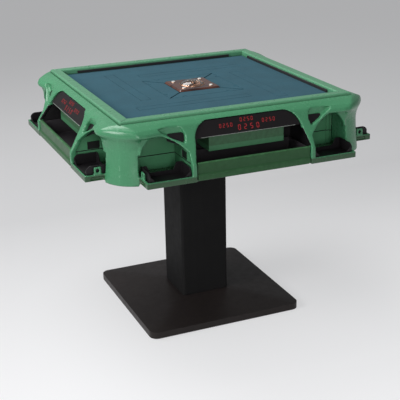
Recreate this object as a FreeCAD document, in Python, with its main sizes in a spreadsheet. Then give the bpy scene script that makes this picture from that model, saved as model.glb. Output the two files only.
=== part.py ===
"""Self-shuffling mahjong table with point-stick drawers, on a square pedestal.

Frame: origin on the floor under the centre, Z up, front side facing -Y. Lengths are millimetres.
Four-sided pieces are drawn for the front side and turned about Z for the right, back and left sides.
"""
import FreeCAD, Part
import math
import os
import re

import Sketcher
from FreeCAD import Placement, Rotation, Vector

SIDES = ("front", "right", "back", "left")
ENDS = {"left": -1, "right": 1}
CORNERS = ("front_left", "back_left", "front_right", "back_right")

SIZES = {
    # Whole table
    "overall_width": 890,
    "rim_top_height": 720,
    "overrun": 5,
    "running_gap": 0.3,
    "bearing_gap": 0.05,
    # Pedestal
    "glide_stand": 3,
    "glide_diameter": 40,
    "glide_inset": 55,
    "base_width": 500,
    "base_edge_height": 21,
    "base_corner_radius": 25,
    "base_rise": 16,
    "base_wall": 10,
    "base_hollow_depth": 13,
    "column_width": 155,
    "column_wall": 4,
    "column_corner_radius": 8,
    "column_foot_margin": 12,
    "foot_plate_thickness": 10,
    "top_plate_width": 280,
    "top_plate_thickness": 8,
    "bolt_diameter": 12,
    "bolt_head_diameter": 19,
    "bolt_head_height": 8,
    "foot_bolt_spacing": 90,
    # Body housings
    "body_depth": 172,
    "tub_inset": 139,
    "tub_wall": 6,
    "tub_floor": 6,
    "tub_height": 54,
    "boss_diameter": 28,
    "boss_height": 12,
    "housing_flange_reach": 32,
    "housing_flange_thickness": 6,
    "score_housing_margin": 58,
    "score_housing_rise": 15,
    # Playing field
    "rim_inset": 125,
    "rim_rail_width": 31,
    "rim_height": 16,
    "rim_bevel": 3,
    "groove_width": 2,
    "bumper_thickness": 4,
    "bumper_height": 8,
    "bumper_lift": 1,
    "bumper_end_gap": 50,
    "mat_gap": 1,
    "mat_thickness": 2,
    "board_thickness": 6,
    # Side frames
    "wall_thickness": 16,
    "wall_knee_rise": 55,
    "wall_lean_share": 0.63,
    "bracket_rise": 7,
    "bracket_height": 18,
    "bracket_floor": 8,
    "bracket_end_inset": 51,
    "bracket_lip": 7,
    "bracket_front_lip": 5,
    "bracket_groove_depth": 5,
    "bracket_groove_height": 10,
    "bracket_groove_rise": 2,
    "bracket_groove_setback": 40,
    "bracket_groove_margin": 5,
    "bay_width": 130,
    "pillar_width": 13,
    "portal_drop": 17,
    "portal_corner_radius": 50,
    "portal_lean": 11,
    "portal_lean_rise": 6,
    "rib_spring_rise": 59,
    "bay_crown_run": 88,
    "bay_top_lap": 6,
    "eye_gap": 1,
    "eye_width": 76,
    "eye_height": 46,
    "eye_drop": 1,
    "eye_back_inset": 63,
    "wall_top_drop": 23,
    "shoulder_depth": 42,
    "shoulder_inset": 54,
    "shoulder_flare": 17,
    "shoulder_flare_run": 105,
    "shoulder_chamfer": 90,
    "shoulder_hollow_radius": 115,
    "shell_thickness": 10,
    "post_inset": 79,
    "post_half_face": 52,
    "post_bulge": 16,
    "post_gap": 5,
    "post_back_depth": 40,
    "gusset_height": 52,
    "gusset_run": 45,
    "gusset_thickness": 14,
    "gusset_setback": 10,
    "gusset_lap": 2,
    "lug_width": 20,
    "lug_height": 21,
    "lug_thickness": 5,
    "lug_back_inset": 27,
    "lug_slot_width": 8,
    "lug_slot_height": 11,
    "shelf_thickness": 6,
    "shelf_lap": 2,
    # Score panels
    "panel_thickness": 10,
    "panel_setback": 6,
    "panel_height": 41,
    "panel_margin": 1.5,
    # Drawers
    "drawer_joint": 2.5,
    "drawer_side_gap": 4,
    "drawer_back_gap": 12,
    "drawer_tray_height": 46,
    "drawer_wall": 3,
    "drawer_front_thickness": 12,
    "drawer_front_rise": 4,
    "drawer_front_height": 48,
    "drawer_lip_height": 14,
    "drawer_lip_depth": 4,
    # Corner trays
    "tray_gap": 2,
    "tray_wall": 3,
    "tray_back_gap": 64,
    "tray_back_height": 33,
    "tray_front_height": 9,
    "tray_cheek_front_height": 22,
    "tray_cheek_run": 54,
    "tray_notch_depth": 20,
    "tray_notch_margin": 17,
    "tray_notch_slope": 9,
    "tray_mouth_margin": 4,
    "tray_mouth_slope": 14,
    # Tile lifts
    "lift_slot_width": 32,
    "lift_end_margin": 74,
    "lift_near_reach": 105,
    "lift_slot_gap": 1.2,
    "lift_thickness": 6,
    "lift_rod_diameter": 10,
    "lift_rod_inset": 55,
    "lift_rod_clearance": 50,
    "guide_diameter": 18,
    "guide_drop": 56,
    "guide_foot_diameter": 28,
    "guide_foot_thickness": 4,
    # Centre flaps and their hinges
    "flap_reach": 54,
    "flap_gap": 1.5,
    "flap_mitre_gap": 3,
    "flap_thickness": 6,
    "flap_pin_diameter": 3,
    "flap_pin_inset": 5,
    "hinge_lug_inset": 50,
    "hinge_lug_width": 8,
    "hinge_lug_radius": 4,
    "hinge_notch_gap": 1,
    # Console
    "console_width": 132,
    "console_rise": 5,
    "console_depth": 14,
    "console_bevel": 4,
    "console_post_diameter": 30,
    "console_post_clearance": 24,
    "dome_diameter": 72,
    "dome_height": 14,
    "dome_wall": 2,
    "die_size": 9,
    "die_spacing": 16,
    "button_diameter": 11,
    "button_offset": 44,
    "button_stand": 3,
    "button_stem_length": 7,
    "button_travel": 1.5,
    # Shuffling drum and drive
    "sleeve_diameter": 44,
    "collar_diameter": 64,
    "collar_height": 38,
    "collar_thickness": 6,
    "hub_diameter": 66,
    "hub_height": 24,
    "disc_gap": 6,
    "disc_thickness": 4,
    "disc_drop": 12,
    "drum_diameter": 338,
    "drum_wall": 5,
    "drum_drop": 68,
    "drum_guide_gap": 5,
    "wheel_diameter": 40,
    "wheel_width": 12,
    "wheel_inset": 32,
    "motor_diameter": 28,
    "motor_length": 52,
    "motor_gap": 4,
    "motor_foot_width": 24,
    "shaft_diameter": 6,
    "control_box_length": 120,
    "control_box_height": 34,
    "inlet_width": 60,
    "inlet_depth": 40,
    "inlet_height": 22,
    "inlet_gap": 60,
}

# Share of a diagonal's length along each of its two axes
CORNER_SHARE = math.cos(math.pi / 4)

# Levels and faces that several pieces share, as formulas of the driving sizes
HALF = "(overall_width / 2)"
BASE_TOP = "(glide_stand + base_edge_height)"
COLUMN_FOOT = f"({BASE_TOP} + base_rise)"
BODY_BOTTOM = "(rim_top_height - body_depth)"
COLUMN_TOP = f"({BODY_BOTTOM} - top_plate_thickness)"
HOLLOW_TOP = "(glide_stand + base_hollow_depth)"
TUB_WIDTH = "(overall_width - 2 * tub_inset)"
TUB_FACE = f"({TUB_WIDTH} / 2)"
TUB_PARTING = f"({BODY_BOTTOM} + tub_height)"
FLOOR = f"({BODY_BOTTOM} + tub_floor)"
RIM_SEAT = "(rim_top_height - rim_height)"
MAT_BOTTOM = f"({RIM_SEAT} - mat_thickness)"
BOARD_BOTTOM = f"({MAT_BOTTOM} - board_thickness)"
FLANGE_BOTTOM = f"({BOARD_BOTTOM} - housing_flange_thickness)"
RIM_INNER = f"({HALF} - rim_inset)"
RIM_OUTER = f"({RIM_INNER} + rim_rail_width)"
FIELD_WIDTH = f"(2 * {RIM_INNER} - 2 * mat_gap)"
GROOVE_OUTER = f"({RIM_OUTER} + groove_width)"
SHOULDER_BOTTOM = "(rim_top_height - shoulder_depth)"
WALL_KNEE = f"({BODY_BOTTOM} + wall_knee_rise)"
POST_REACH = f"({HALF} - post_inset)"
POST_INNER = f"({TUB_FACE} + post_gap)"
BRACKET_BOTTOM = f"({BODY_BOTTOM} + bracket_rise)"
BRACKET_TOP = f"({BRACKET_BOTTOM} + bracket_height)"
BRACKET_SEAT = f"({BRACKET_BOTTOM} + bracket_floor)"
BRACKET_END = f"({POST_REACH} - bracket_end_inset)"
PILLAR_OUTER = f"({BRACKET_END} - bay_width)"
PORTAL_HALF = f"({PILLAR_OUTER} - pillar_width)"
PORTAL_TOP = "(rim_top_height - portal_drop)"
BAY_TOP = f"({SHOULDER_BOTTOM} + bay_top_lap)"
EYE_TOP = f"({PORTAL_TOP} - eye_drop)"
LIP_BACK = f"({HALF} - wall_thickness)"
SHELF_TOP = f"({BRACKET_BOTTOM} + shelf_lap)"
DRAWER_BOTTOM = f"({SHELF_TOP} + running_gap)"
DRAWER_BACK_FACE = f"({HALF} - drawer_front_thickness)"
DRAWER_DEPTH = f"({DRAWER_BACK_FACE} - {TUB_FACE} - drawer_back_gap)"
DRAWER_FRONT_BOTTOM = f"({BRACKET_BOTTOM} + drawer_front_rise)"
DRAWER_FRONT_TOP = f"({DRAWER_FRONT_BOTTOM} + drawer_front_height)"
CONSOLE_TOP = f"({RIM_SEAT} + console_rise)"
CONSOLE_BOTTOM = f"({RIM_SEAT} - console_depth)"
FLAP_OPENING = "(console_width + 2 * flap_reach)"
HINGE_SPACING = f"({FLAP_OPENING} - 2 * hinge_lug_inset)"
PIN_HEIGHT = f"({RIM_SEAT} - flap_thickness / 2)"
PIN_REACH = f"({FLAP_OPENING} / 2 - flap_pin_inset)"
LIFT_OFFSET = "(drum_diameter / 2 + drum_guide_gap + guide_foot_diameter / 2)"
LIFT_FAR_END = f"({FIELD_WIDTH} / 2 - lift_end_margin)"
GUIDE_TOP = f"({RIM_SEAT} - guide_drop)"
DRUM_ROOM = "(drum_diameter / 2 - drum_wall)"
TOP_BOLT_SPACING = f"(column_width / 2 + {DRUM_ROOM} * {CORNER_SHARE})"
DISC_RADIUS = f"({DRUM_ROOM} - disc_gap)"
COLLAR_BOTTOM = f"({FLOOR} + collar_height)"
HUB_BOTTOM = f"({COLLAR_BOTTOM} + collar_thickness + running_gap)"
DISC_TOP = f"({HUB_BOTTOM} + hub_height - disc_drop)"
DISC_BOTTOM = f"({DISC_TOP} - disc_thickness)"
AXLE_HEIGHT = f"({DISC_BOTTOM} - running_gap - wheel_diameter / 2)"
BOLT_HOLE = "(bolt_diameter + 2 * running_gap)"

# Band over the shoulders, from its lower edge up to the groove: height and reach
BAND_SHARES = ((0, 0.9), (0.12, 1), (0.35, 0.97), (0.62, 0.78), (0.86, 0.4), (1, 0))
# How far the band's corner stands out beyond the straight line across it, over that line's width each way
CORNER_BULGE_SHARE = 0.07
# Corner post, from its foot up into the shoulder: height, reach of its crest and width of its face
POST_SHARES = ((0, 1, 1), (0.42, 0.99, 0.94), (0.75, 0.985, 0.96), (1, 1, 1.2))
# Where a half post's face stands out midway between its crest and its edge, over the crest's bulge
BULGE_MID_SHARE = 0.75
# Point of the bay's arch between its spring and its crown, along and up
BAY_ARC_SHARES = (0.42, 0.63)
# Corners of the gap between the pillar's two arms and the band, along and up
EYE_SHARES = ((0.05, 0), (0, 0.39), (0.07, 0.77), (0.2, 0.95), (0.4, 1), (1, 0.91), (0.84, 0.68), (0.46, 0.3))
# Point of the arch beside a post between its foot and its crown, along and up
GUSSET_ARC_SHARES = (0.38, 0.62)
# Height of a score housing's upright nose over the whole housing's
NOSE_SHARE = 0.7
# Point of a tray cheek's curve between its back and front, along and down
CHEEK_ARC_SHARES = (0.45, 0.2)
# Where the control box begins and ends between the lift guides and the tub's wall
CONTROL_BOX_SHARES = (0.16, 0.88)

doc = FreeCAD.newDocument("MahjongTable")
sheet = doc.addObject("Spreadsheet::Sheet", "Sizes")
for row, (alias, number) in enumerate(SIZES.items(), start=1):
    sheet.set(f"A{row}", str(number))
    sheet.setAlias(f"A{row}", alias)
doc.recompute()

nodes = []


def in_sheet(formula):
    """The formula with each size's name pointing at its cell."""
    return re.sub(r"[a-z]\w*", lambda word: "Sizes." + word.group(), formula)


def value(formula):
    """The number that a formula of sizes gives."""
    return float(sheet.evalExpression(in_sheet(formula)))


def bind(item, setting, formula):
    item.setExpression(setting, in_sheet(formula))


def turned(side):
    """The placement that turns a front piece to the named side."""
    return Placement(Vector(), Rotation(Vector(0, 0, 1), 90 * SIDES.index(side)))


def node(label, item, side="front"):
    """Names a finished sub-part and turns it to its side of the table."""
    item.Label = label
    if side != "front":
        item.Placement = turned(side)
    nodes.append(item)
    return item


def feature(name, shape):
    item = doc.addObject("Part::Feature", name)
    item.Shape = shape
    return item


def block(name, x, y, z):
    """A box; each axis has the formulas of its low face and its length."""
    solid = doc.addObject("Part::Box", name)
    for axis, length_name, (low, length) in zip("xyz", ("Length", "Width", "Height"), (x, y, z)):
        bind(solid, length_name, length)
        bind(solid, "Placement.Base." + axis, low)
    return solid


def centred(width):
    return f"-({width}) / 2", width


def rod(name, diameter, x, y, z, length, along_x=False):
    """A round bar that rises from its foot, or runs along X from it."""
    solid = doc.addObject("Part::Cylinder", name)
    if along_x:
        solid.Placement = Placement(Vector(), Rotation(Vector(0, 1, 0), 90))
    bind(solid, "Radius", f"({diameter}) / 2")
    bind(solid, "Height", length)
    for axis, formula in zip("xyz", (x, y, z)):
        bind(solid, "Placement.Base." + axis, formula)
    return solid


def fuse(name, *items):
    result = doc.addObject("Part::MultiFuse", name)
    result.Shapes = list(items)
    result.Refine = True
    return result


def cut(name, base, *tools):
    result = doc.addObject("Part::Cut", name)
    result.Base = base
    result.Tool = tools[0] if len(tools) == 1 else fuse(name + "Tools", *tools)
    return result


def group(name, items):
    """Separate solids of one kind that share a node."""
    result = doc.addObject("Part::Compound", name)
    result.Links = list(items)
    return result


def corners(spacing):
    """Formulas of the four places of a square pattern."""
    return [(f"{x} * ({spacing}) / 2", f"{y} * ({spacing}) / 2") for x in (-1, 1) for y in (-1, 1)]


def origin_plane(body, role):
    return next(plane for plane in body.Origin.OriginFeatures if plane.Role == role)


def sketch_on(body, name, role="XY_Plane", height=None):
    sketch = body.newObject("Sketcher::SketchObject", name)
    sketch.AttachmentSupport = (origin_plane(body, role), [""])
    sketch.MapMode = "FlatFace"
    if height:
        bind(sketch, "AttachmentOffset.Base.z", height)
    return sketch


def add_rectangle(sketch, tag, west, east, south, north):
    """A rectangle whose four sides are set from the origin by formulas."""
    box = [value(edge) for edge in (west, east, south, north)]
    points = [Vector(box[x], box[y], 0) for x, y in ((0, 2), (1, 2), (1, 3), (0, 3))]
    first = sketch.GeometryCount
    for start, end in zip(points, points[1:] + points[:1]):
        sketch.addGeometry(Part.LineSegment(start, end), False)
    for edge in range(4):
        sketch.addConstraint(Sketcher.Constraint("Coincident", first + edge, 2, first + (edge + 1) % 4, 1))
        sketch.addConstraint(Sketcher.Constraint("Vertical" if edge % 2 else "Horizontal", first + edge))
    for name, kind, corner, formula, now in (
        ("West", "DistanceX", 0, west, box[0]),
        ("East", "DistanceX", 2, east, box[1]),
        ("South", "DistanceY", 0, south, box[2]),
        ("North", "DistanceY", 2, north, box[3]),
    ):
        index = sketch.addConstraint(Sketcher.Constraint(kind, -1, 1, first + corner, 1, now))
        sketch.renameConstraint(index, tag + name)
        bind(sketch, "Constraints." + tag + name, formula)


def add_square(sketch, tag, width):
    half = f"({width}) / 2"
    add_rectangle(sketch, tag, f"-{half}", half, f"-{half}", half)


def add_profile(sketch, tag, points):
    """A closed outline of straight edges; each point has the formulas of its two places."""
    places = [Vector(value(along), value(up), 0) for along, up in points]
    count = len(places)
    for start, end in zip(places, places[1:] + places[:1]):
        sketch.addGeometry(Part.LineSegment(start, end), False)
    for edge in range(count):
        sketch.addConstraint(Sketcher.Constraint("Coincident", edge, 2, (edge + 1) % count, 1))
    for edge, (formulas, place) in enumerate(zip(points, places)):
        for kind, formula, now in zip(("DistanceX", "DistanceY"), formulas, (place.x, place.y)):
            index = sketch.addConstraint(Sketcher.Constraint(kind, -1, 1, edge, 1, now))
            sketch.renameConstraint(index, f"{tag}{edge}{kind[-1]}")
            bind(sketch, f"Constraints.{tag}{edge}{kind[-1]}", formula)


def padded(body, sketch, length):
    pad = body.newObject("PartDesign::Pad", sketch.Name + "Pad")
    pad.Profile = sketch
    bind(pad, "Length", length)
    return pad


def pocketed(body, sketch, length, upward=False):
    pocket = body.newObject("PartDesign::Pocket", sketch.Name + "Pocket")
    pocket.Profile = sketch
    pocket.Reversed = upward
    bind(pocket, "Length", length)
    return pocket


def patterned(body, feature_to_repeat, count):
    """Repeats a feature evenly round the table's upright axis."""
    pattern = body.newObject("PartDesign::PolarPattern", feature_to_repeat.Name + "Round")
    pattern.Originals = [feature_to_repeat]
    pattern.Axis = (origin_axis(body, "Z_Axis"), [""])
    pattern.Angle = 360
    pattern.Occurrences = count
    body.Tip = pattern
    return pattern


def origin_axis(body, role):
    return next(axis for axis in body.Origin.OriginFeatures if axis.Role == role)


def turned_solid(name, points):
    """A round piece: an outline of radius and height, turned about Z."""
    body = doc.addObject("PartDesign::Body", name)
    sketch = sketch_on(body, name + "Outline", "XZ_Plane")
    add_profile(sketch, "Point", points)
    revolution = body.newObject("PartDesign::Revolution", name + "Turn")
    revolution.Profile = sketch
    revolution.ReferenceAxis = (sketch, ["V_Axis"])
    revolution.Angle = 360
    return body


def prism(points, run):
    """A straight-edged outline drawn out along a run."""
    return Part.Face(Part.makePolygon(points + points[:1])).extrude(run)


def rounded_square(half, radius, height):
    """A square outline with round corners, at a height."""
    flat = half - radius
    edges = []
    for turn in range(4):
        spin = Rotation(Vector(0, 0, 1), 90 * turn)
        bow = flat + radius * CORNER_SHARE
        start, end = Vector(half, -flat, height), Vector(half, flat, height)
        arc_end, arc_mid = Vector(flat, half, height), Vector(bow, bow, height)
        edges.append(Part.LineSegment(spin.multVec(start), spin.multVec(end)).toShape())
        edges.append(Part.Arc(spin.multVec(end), spin.multVec(arc_mid), spin.multVec(arc_end)).toShape())
    return Part.Wire(edges)


def square_bar(half, bottom, top):
    return Part.makeBox(2 * half, 2 * half, top - bottom, Vector(-half, -half, bottom))


def front_sector(bottom, top):
    """The quarter of the table in front of the two diagonals."""
    reach = value(HALF)
    points = [Vector(0, 0, bottom), Vector(-reach, -reach, bottom), Vector(reach, -reach, bottom)]
    return prism(points, Vector(0, 0, top - bottom))


def wall_reach(height):
    """How far out the leaning side wall stands at a height."""
    rise = max(height - value(WALL_KNEE), 0)
    return value(HALF) - rise * value("wall_lean_share")


# Pedestal


def base_plate():
    """A square plate with round corners that rises as a low pyramid to the column."""
    half, top = value("base_width / 2"), value(BASE_TOP)
    radius = value("base_corner_radius")
    foot = value("column_width / 2 + column_foot_margin")
    rim = rounded_square(half, radius, value("glide_stand"))
    edge = Part.Face(rim).extrude(Vector(0, 0, value("base_edge_height")))
    crown = rounded_square(foot, value("column_corner_radius + column_foot_margin"), value(COLUMN_FOOT))
    pyramid = Part.makeLoft([rounded_square(half, radius, top), crown], True, True)
    blank = feature("BaseBlank", edge.fuse(pyramid).removeSplitter())
    inner = "base_width - 2 * base_wall"
    hollow = block(
        "BaseHollow", centred(inner), centred(inner), ("glide_stand - overrun", "base_hollow_depth + overrun")
    )
    glide_room, places = "glide_diameter + 2 * base_wall", corners("base_width - 2 * glide_inset")
    posts = [rod("GlidePost", glide_room, x, y, "glide_stand", "base_hollow_depth") for x, y in places]
    depth = "base_edge_height + base_rise + overrun"
    holes = [rod("FootHole", BOLT_HOLE, x, y, "glide_stand", depth) for x, y in corners("foot_bolt_spacing")]
    node("base_plate", cut("BasePlate", fuse("BaseBody", cut("BaseShell", blank, hollow), *posts), *holes))
    glides = [rod("Glide", "glide_diameter", x, y, "0", "glide_stand") for x, y in places]
    node("base_glides", group("BaseGlides", glides))


def outer_uprights(tube):
    """Names of a square tube's upright edges that stand farthest from its axis."""
    uprights = {}
    for number, edge in enumerate(tube.Edges, start=1):
        low, high = edge.BoundBox.ZMin, edge.BoundBox.ZMax
        if high - low > tube.BoundBox.ZLength / 2:
            uprights[f"Edge{number}"] = edge.BoundBox.Center.x ** 2
    return [name for name, reach in uprights.items() if reach > max(uprights.values()) - 1]


def base_column():
    """A square tube with a foot plate inside and a wide top plate."""
    body = doc.addObject("PartDesign::Body", "BaseColumn")
    tube = sketch_on(body, "ColumnTube", height=COLUMN_FOOT)
    add_square(tube, "Outer", "column_width")
    add_square(tube, "Inner", "column_width - 2 * column_wall")
    walls = padded(body, tube, f"{COLUMN_TOP} - {COLUMN_FOOT}")
    doc.recompute()
    rounded = body.newObject("PartDesign::Fillet", "ColumnCorners")
    rounded.Base = (walls, outer_uprights(walls.Shape))
    bind(rounded, "Radius", "column_corner_radius")
    foot = sketch_on(body, "ColumnFoot", height=COLUMN_FOOT)
    add_square(foot, "Foot", "column_width - 2 * column_wall")
    padded(body, foot, "foot_plate_thickness")
    plate = sketch_on(body, "ColumnTop", height=COLUMN_TOP)
    add_square(plate, "Plate", "top_plate_width")
    padded(body, plate, "top_plate_thickness")
    holes = []
    for spacing, low, depth in (
        ("foot_bolt_spacing", BASE_TOP, "base_rise + foot_plate_thickness + overrun"),
        (TOP_BOLT_SPACING, f"{COLUMN_TOP} - overrun", "top_plate_thickness + 2 * overrun"),
    ):
        holes += [rod("ColumnHole", BOLT_HOLE, x, y, low, depth) for x, y in corners(spacing)]
    node("base_column", cut("Column", body, *holes))


def pedestal_bolts():
    """Four bolts up into the foot plate and four up into the tub's bosses."""
    bolts = []
    foot_grip = "base_edge_height + base_rise - base_hollow_depth + foot_plate_thickness"
    for spacing, seat, grip in (
        ("foot_bolt_spacing", HOLLOW_TOP, foot_grip),
        (TOP_BOLT_SPACING, COLUMN_TOP, "top_plate_thickness + tub_floor + boss_height / 2"),
    ):
        for x, y in corners(spacing):
            head_foot = f"{seat} - bolt_head_height"
            head = rod("BoltHead", "bolt_head_diameter", x, y, head_foot, "bolt_head_height")
            shank = rod("BoltShank", "bolt_diameter", x, y, seat, grip)
            bolts.append(fuse("PedestalBolt", head, shank))
    node("pedestal_bolts", group("PedestalBolts", bolts))


# Body housings


def lower_tub():
    """An open square tub with bosses for the top bolts."""
    body = doc.addObject("PartDesign::Body", "LowerTub")
    floor = sketch_on(body, "TubFloor", height=BODY_BOTTOM)
    add_square(floor, "Floor", TUB_WIDTH)
    padded(body, floor, "tub_height")
    room = sketch_on(body, "TubRoom", height=TUB_PARTING)
    add_square(room, "Room", f"{TUB_WIDTH} - 2 * tub_wall")
    pocketed(body, room, "tub_height - tub_floor")
    places = corners(TOP_BOLT_SPACING)
    bosses = [rod("Boss", "boss_diameter", x, y, FLOOR, "boss_height") for x, y in places]
    low, depth = f"{BODY_BOTTOM} - overrun", "tub_floor + boss_height"
    holes = [rod("BossHole", BOLT_HOLE, x, y, low, depth) for x, y in places]
    node("lower_tub", cut("Tub", fuse("TubBody", body, *bosses), *holes))


def score_housing(name, inset, low, back, side):
    """The nose that carries a score panel on its sloping top, drawn in by an inset."""
    foot, top = value(f"{TUB_PARTING} + score_housing_rise"), value(FLANGE_BOTTOM)
    bend = foot + NOSE_SHARE * (top - foot)
    setback = value("panel_setback + panel_thickness") + inset
    nose, slope_top = wall_reach(bend) - setback, wall_reach(top - inset) - setback
    half = value(f"{PORTAL_HALF} - score_housing_margin") - inset
    outline = [(back, low), (nose, low), (nose, bend), (slope_top, top - inset), (back, top - inset)]
    points = [Vector(-half, -reach, height) for reach, height in outline]
    solid = feature(name, prism(points, Vector(2 * half, 0, 0)))
    solid.Placement = turned(side)
    return solid


def upper_housing():
    """Four walls above the parting line, a flange for the board, and score housings open below."""
    body = doc.addObject("PartDesign::Body", "UpperHousing")
    wall = sketch_on(body, "HousingWall", height=TUB_PARTING)
    add_square(wall, "Wall", TUB_WIDTH)
    padded(body, wall, f"{FLANGE_BOTTOM} - {TUB_PARTING}")
    flange = sketch_on(body, "HousingFlange", height=FLANGE_BOTTOM)
    add_square(flange, "Flange", f"{TUB_WIDTH} + 2 * housing_flange_reach")
    padded(body, flange, "housing_flange_thickness")
    room = sketch_on(body, "HousingRoom", height=BOARD_BOTTOM)
    add_square(room, "Room", f"{TUB_WIDTH} - 2 * tub_wall")
    pocketed(body, room, f"{BOARD_BOTTOM} - {TUB_PARTING}")
    low, face = value(f"{TUB_PARTING} + score_housing_rise"), value(TUB_FACE)
    noses = [score_housing("ScoreHousing", 0, low, face, side) for side in SIDES]
    below = low - value("overrun")
    hollows = [score_housing("ScoreHollow", value("tub_wall"), below, face, side) for side in SIDES]
    node("upper_housing", cut("Housing", fuse("HousingBody", body, *noses), *hollows))


# Side frames


def leaning_wall():
    """The wall of a side: upright at the bracket, then leaning in to the band, as wide as the brackets."""
    low, knee = value(BRACKET_BOTTOM), value(WALL_KNEE)
    top, thickness = value("rim_top_height - wall_top_drop"), value("wall_thickness")
    outer = [(wall_reach(height), height) for height in (low, knee, top)]
    inner = [(reach - thickness, height) for reach, height in reversed(outer)]
    end = value(BRACKET_END)
    points = [Vector(-end, -reach, height) for reach, height in outer + inner]
    return prism(points, Vector(2 * end, 0, 0))


def through_wall(outline, reach):
    """Draws an outline of the wall's face inward to a reach, as a cutting tool."""
    front = value(f"{HALF} + overrun")
    face = Part.Face(Part.Wire(outline))
    face.translate(Vector(0, -front, 0))
    return face.extrude(Vector(0, front - reach, 0))


def arch_outline(margin, bottom):
    """The portal's outline on the wall's face, drawn in by a margin: its sides lean in above the drawer."""
    foot, knee = value(PORTAL_HALF) - margin, value(f"{WALL_KNEE} + portal_lean_rise")
    half, top = foot - value("portal_lean"), value(PORTAL_TOP) - margin
    radius = value("portal_corner_radius") - margin
    spring, flat = top - radius, half - radius
    bow = radius * CORNER_SHARE
    left_arc = [Vector(-half, 0, spring), Vector(-flat - bow, 0, spring + bow), Vector(-flat, 0, top)]
    right_arc = [Vector(flat, 0, top), Vector(flat + bow, 0, spring + bow), Vector(half, 0, spring)]
    places = ((foot, knee), (foot, bottom), (-foot, bottom), (-foot, knee))
    sides = right_arc[2:] + [Vector(x, 0, z) for x, z in places] + left_arc[:1]
    crown = Part.LineSegment(left_arc[2], right_arc[0]).toShape()
    head = [Part.Arc(*left_arc).toShape(), crown, Part.Arc(*right_arc).toShape()]
    return head + [Part.LineSegment(*ends).toShape() for ends in zip(sides, sides[1:])]


def bay_outline(hand):
    """The bay beside a pillar: open to the corner, with an arched rib above."""
    inner, outer = value(PILLAR_OUTER), value(HALF)
    low, spring = value(BRACKET_TOP), value(f"{BRACKET_TOP} + rib_spring_rise")
    crown, top = inner + value("bay_crown_run"), value(BAY_TOP)
    along, up = BAY_ARC_SHARES
    mid = (inner + along * (crown - inner), spring + up * (top - spring))
    places = [(inner, low), (inner, spring), mid, (crown, top), (outer, top), (outer, low)]
    foot, start, middle, end, far_top, far_low = [Vector(hand * x, 0, z) for x, z in places]
    return [
        Part.LineSegment(foot, start).toShape(),
        Part.Arc(start, middle, end).toShape(),
        Part.LineSegment(end, far_top).toShape(),
        Part.LineSegment(far_top, far_low).toShape(),
        Part.LineSegment(far_low, foot).toShape(),
    ]


def eye_outline(hand):
    """The small gap between the pillar's two arms and the band."""
    inner, width = value(f"{PILLAR_OUTER} + eye_gap"), value("eye_width")
    low, height = value(f"{EYE_TOP} - eye_height"), value("eye_height")
    points = [Vector(hand * (inner + along * width), 0, low + up * height) for along, up in EYE_SHARES]
    return Part.makePolygon(points + points[:1]).Edges


def flared_ring(share, height):
    """An outline of the band at a share of its reach: straight sides that flare to broad round corners."""
    groove, spread = value(GROOVE_OUTER), value(f"{HALF} - shoulder_inset - {GROOVE_OUTER}")
    narrow = value("2 * groove_width")
    side, corner = groove + share * spread, groove + share * (spread + value("shoulder_flare"))
    chamfer = narrow + share * (value("shoulder_chamfer") - narrow)
    end = corner - chamfer
    start, crest = end - value("shoulder_flare_run"), (end + corner) / 2 + CORNER_BULGE_SHARE * chamfer
    edges = []
    for turn in range(len(SIDES)):
        spin = Rotation(Vector(0, 0, 1), 90 * turn)
        plan = ((-end, corner), (-start, side), (start, side), (end, corner), (crest, crest), (corner, end))
        points = [spin.multVec(Vector(along, -out, height)) for along, out in plan]
        edges += [Part.LineSegment(*ends).toShape() for ends in zip(points[:3], points[1:4])]
        edges.append(Part.Arc(*points[3:]).toShape())
    return Part.Wire(edges)


def shoulder_band():
    """The band under the groove, over the whole square, flared at the corners and hollow below its flange."""
    low, rise = value(SHOULDER_BOTTOM), value("shoulder_depth - rim_height / 2 + groove_width")
    rings = [flared_ring(reach, low + height * rise) for height, reach in BAND_SHARES]
    wall, overrun, radius = value("shell_thickness"), value("overrun"), value("shoulder_hollow_radius")
    flange_bottom, seat, groove = value(BOARD_BOTTOM), value(RIM_SEAT), value(GROOVE_OUTER)
    cavity_low = rounded_square(value(f"{HALF} - shoulder_inset") - wall, radius, low - overrun)
    cavity_top = rounded_square(wall_reach(flange_bottom) - wall - overrun, radius - 2 * wall, flange_bottom)
    band = Part.makeLoft(rings, True, True)
    band = band.cut(Part.makeLoft([cavity_low, cavity_top], True, True))
    band = band.cut(square_bar(value(RIM_INNER), low - overrun, seat + overrun))
    return band.cut(square_bar(groove, seat, value("rim_top_height")))


def post_section(crest_share, width_share):
    """Reach of a post's crest, and the place of its face's edge, along and out."""
    crest = crest_share * value(POST_REACH)
    chord = crest - value("post_bulge") * CORNER_SHARE
    step = width_share * value("post_half_face") * CORNER_SHARE
    return crest, (chord - step, chord + step)


def half_post(hand):
    """One half of a corner post: a broad round face across the corner, drawn in at the waist."""
    foot, height = value(BODY_BOTTOM), value(f"{BAY_TOP} - {BODY_BOTTOM}")
    inner, back = value(POST_INNER), value("post_back_depth")
    swell = BULGE_MID_SHARE * value("post_bulge") * CORNER_SHARE
    rings = []
    for level, crest_share, width_share in POST_SHARES:
        crest, (along, out) = post_section(crest_share, width_share)
        chord, step = (along + out) / 2, (out - along) / 4
        plan = [(crest, crest), (chord - step + swell, chord + step + swell), (along, out)]
        plan += [(inner, inner + back), (inner, inner)]
        points = [Vector(hand * x, -y, foot + level * height) for x, y in plan]
        edges = [Part.Arc(*points[:3]).toShape()]
        edges += [Part.LineSegment(*ends).toShape() for ends in zip(points[2:], points[3:] + points[:1])]
        rings.append(Part.Wire(edges))
    return Part.makeLoft(rings, True, True)


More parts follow.
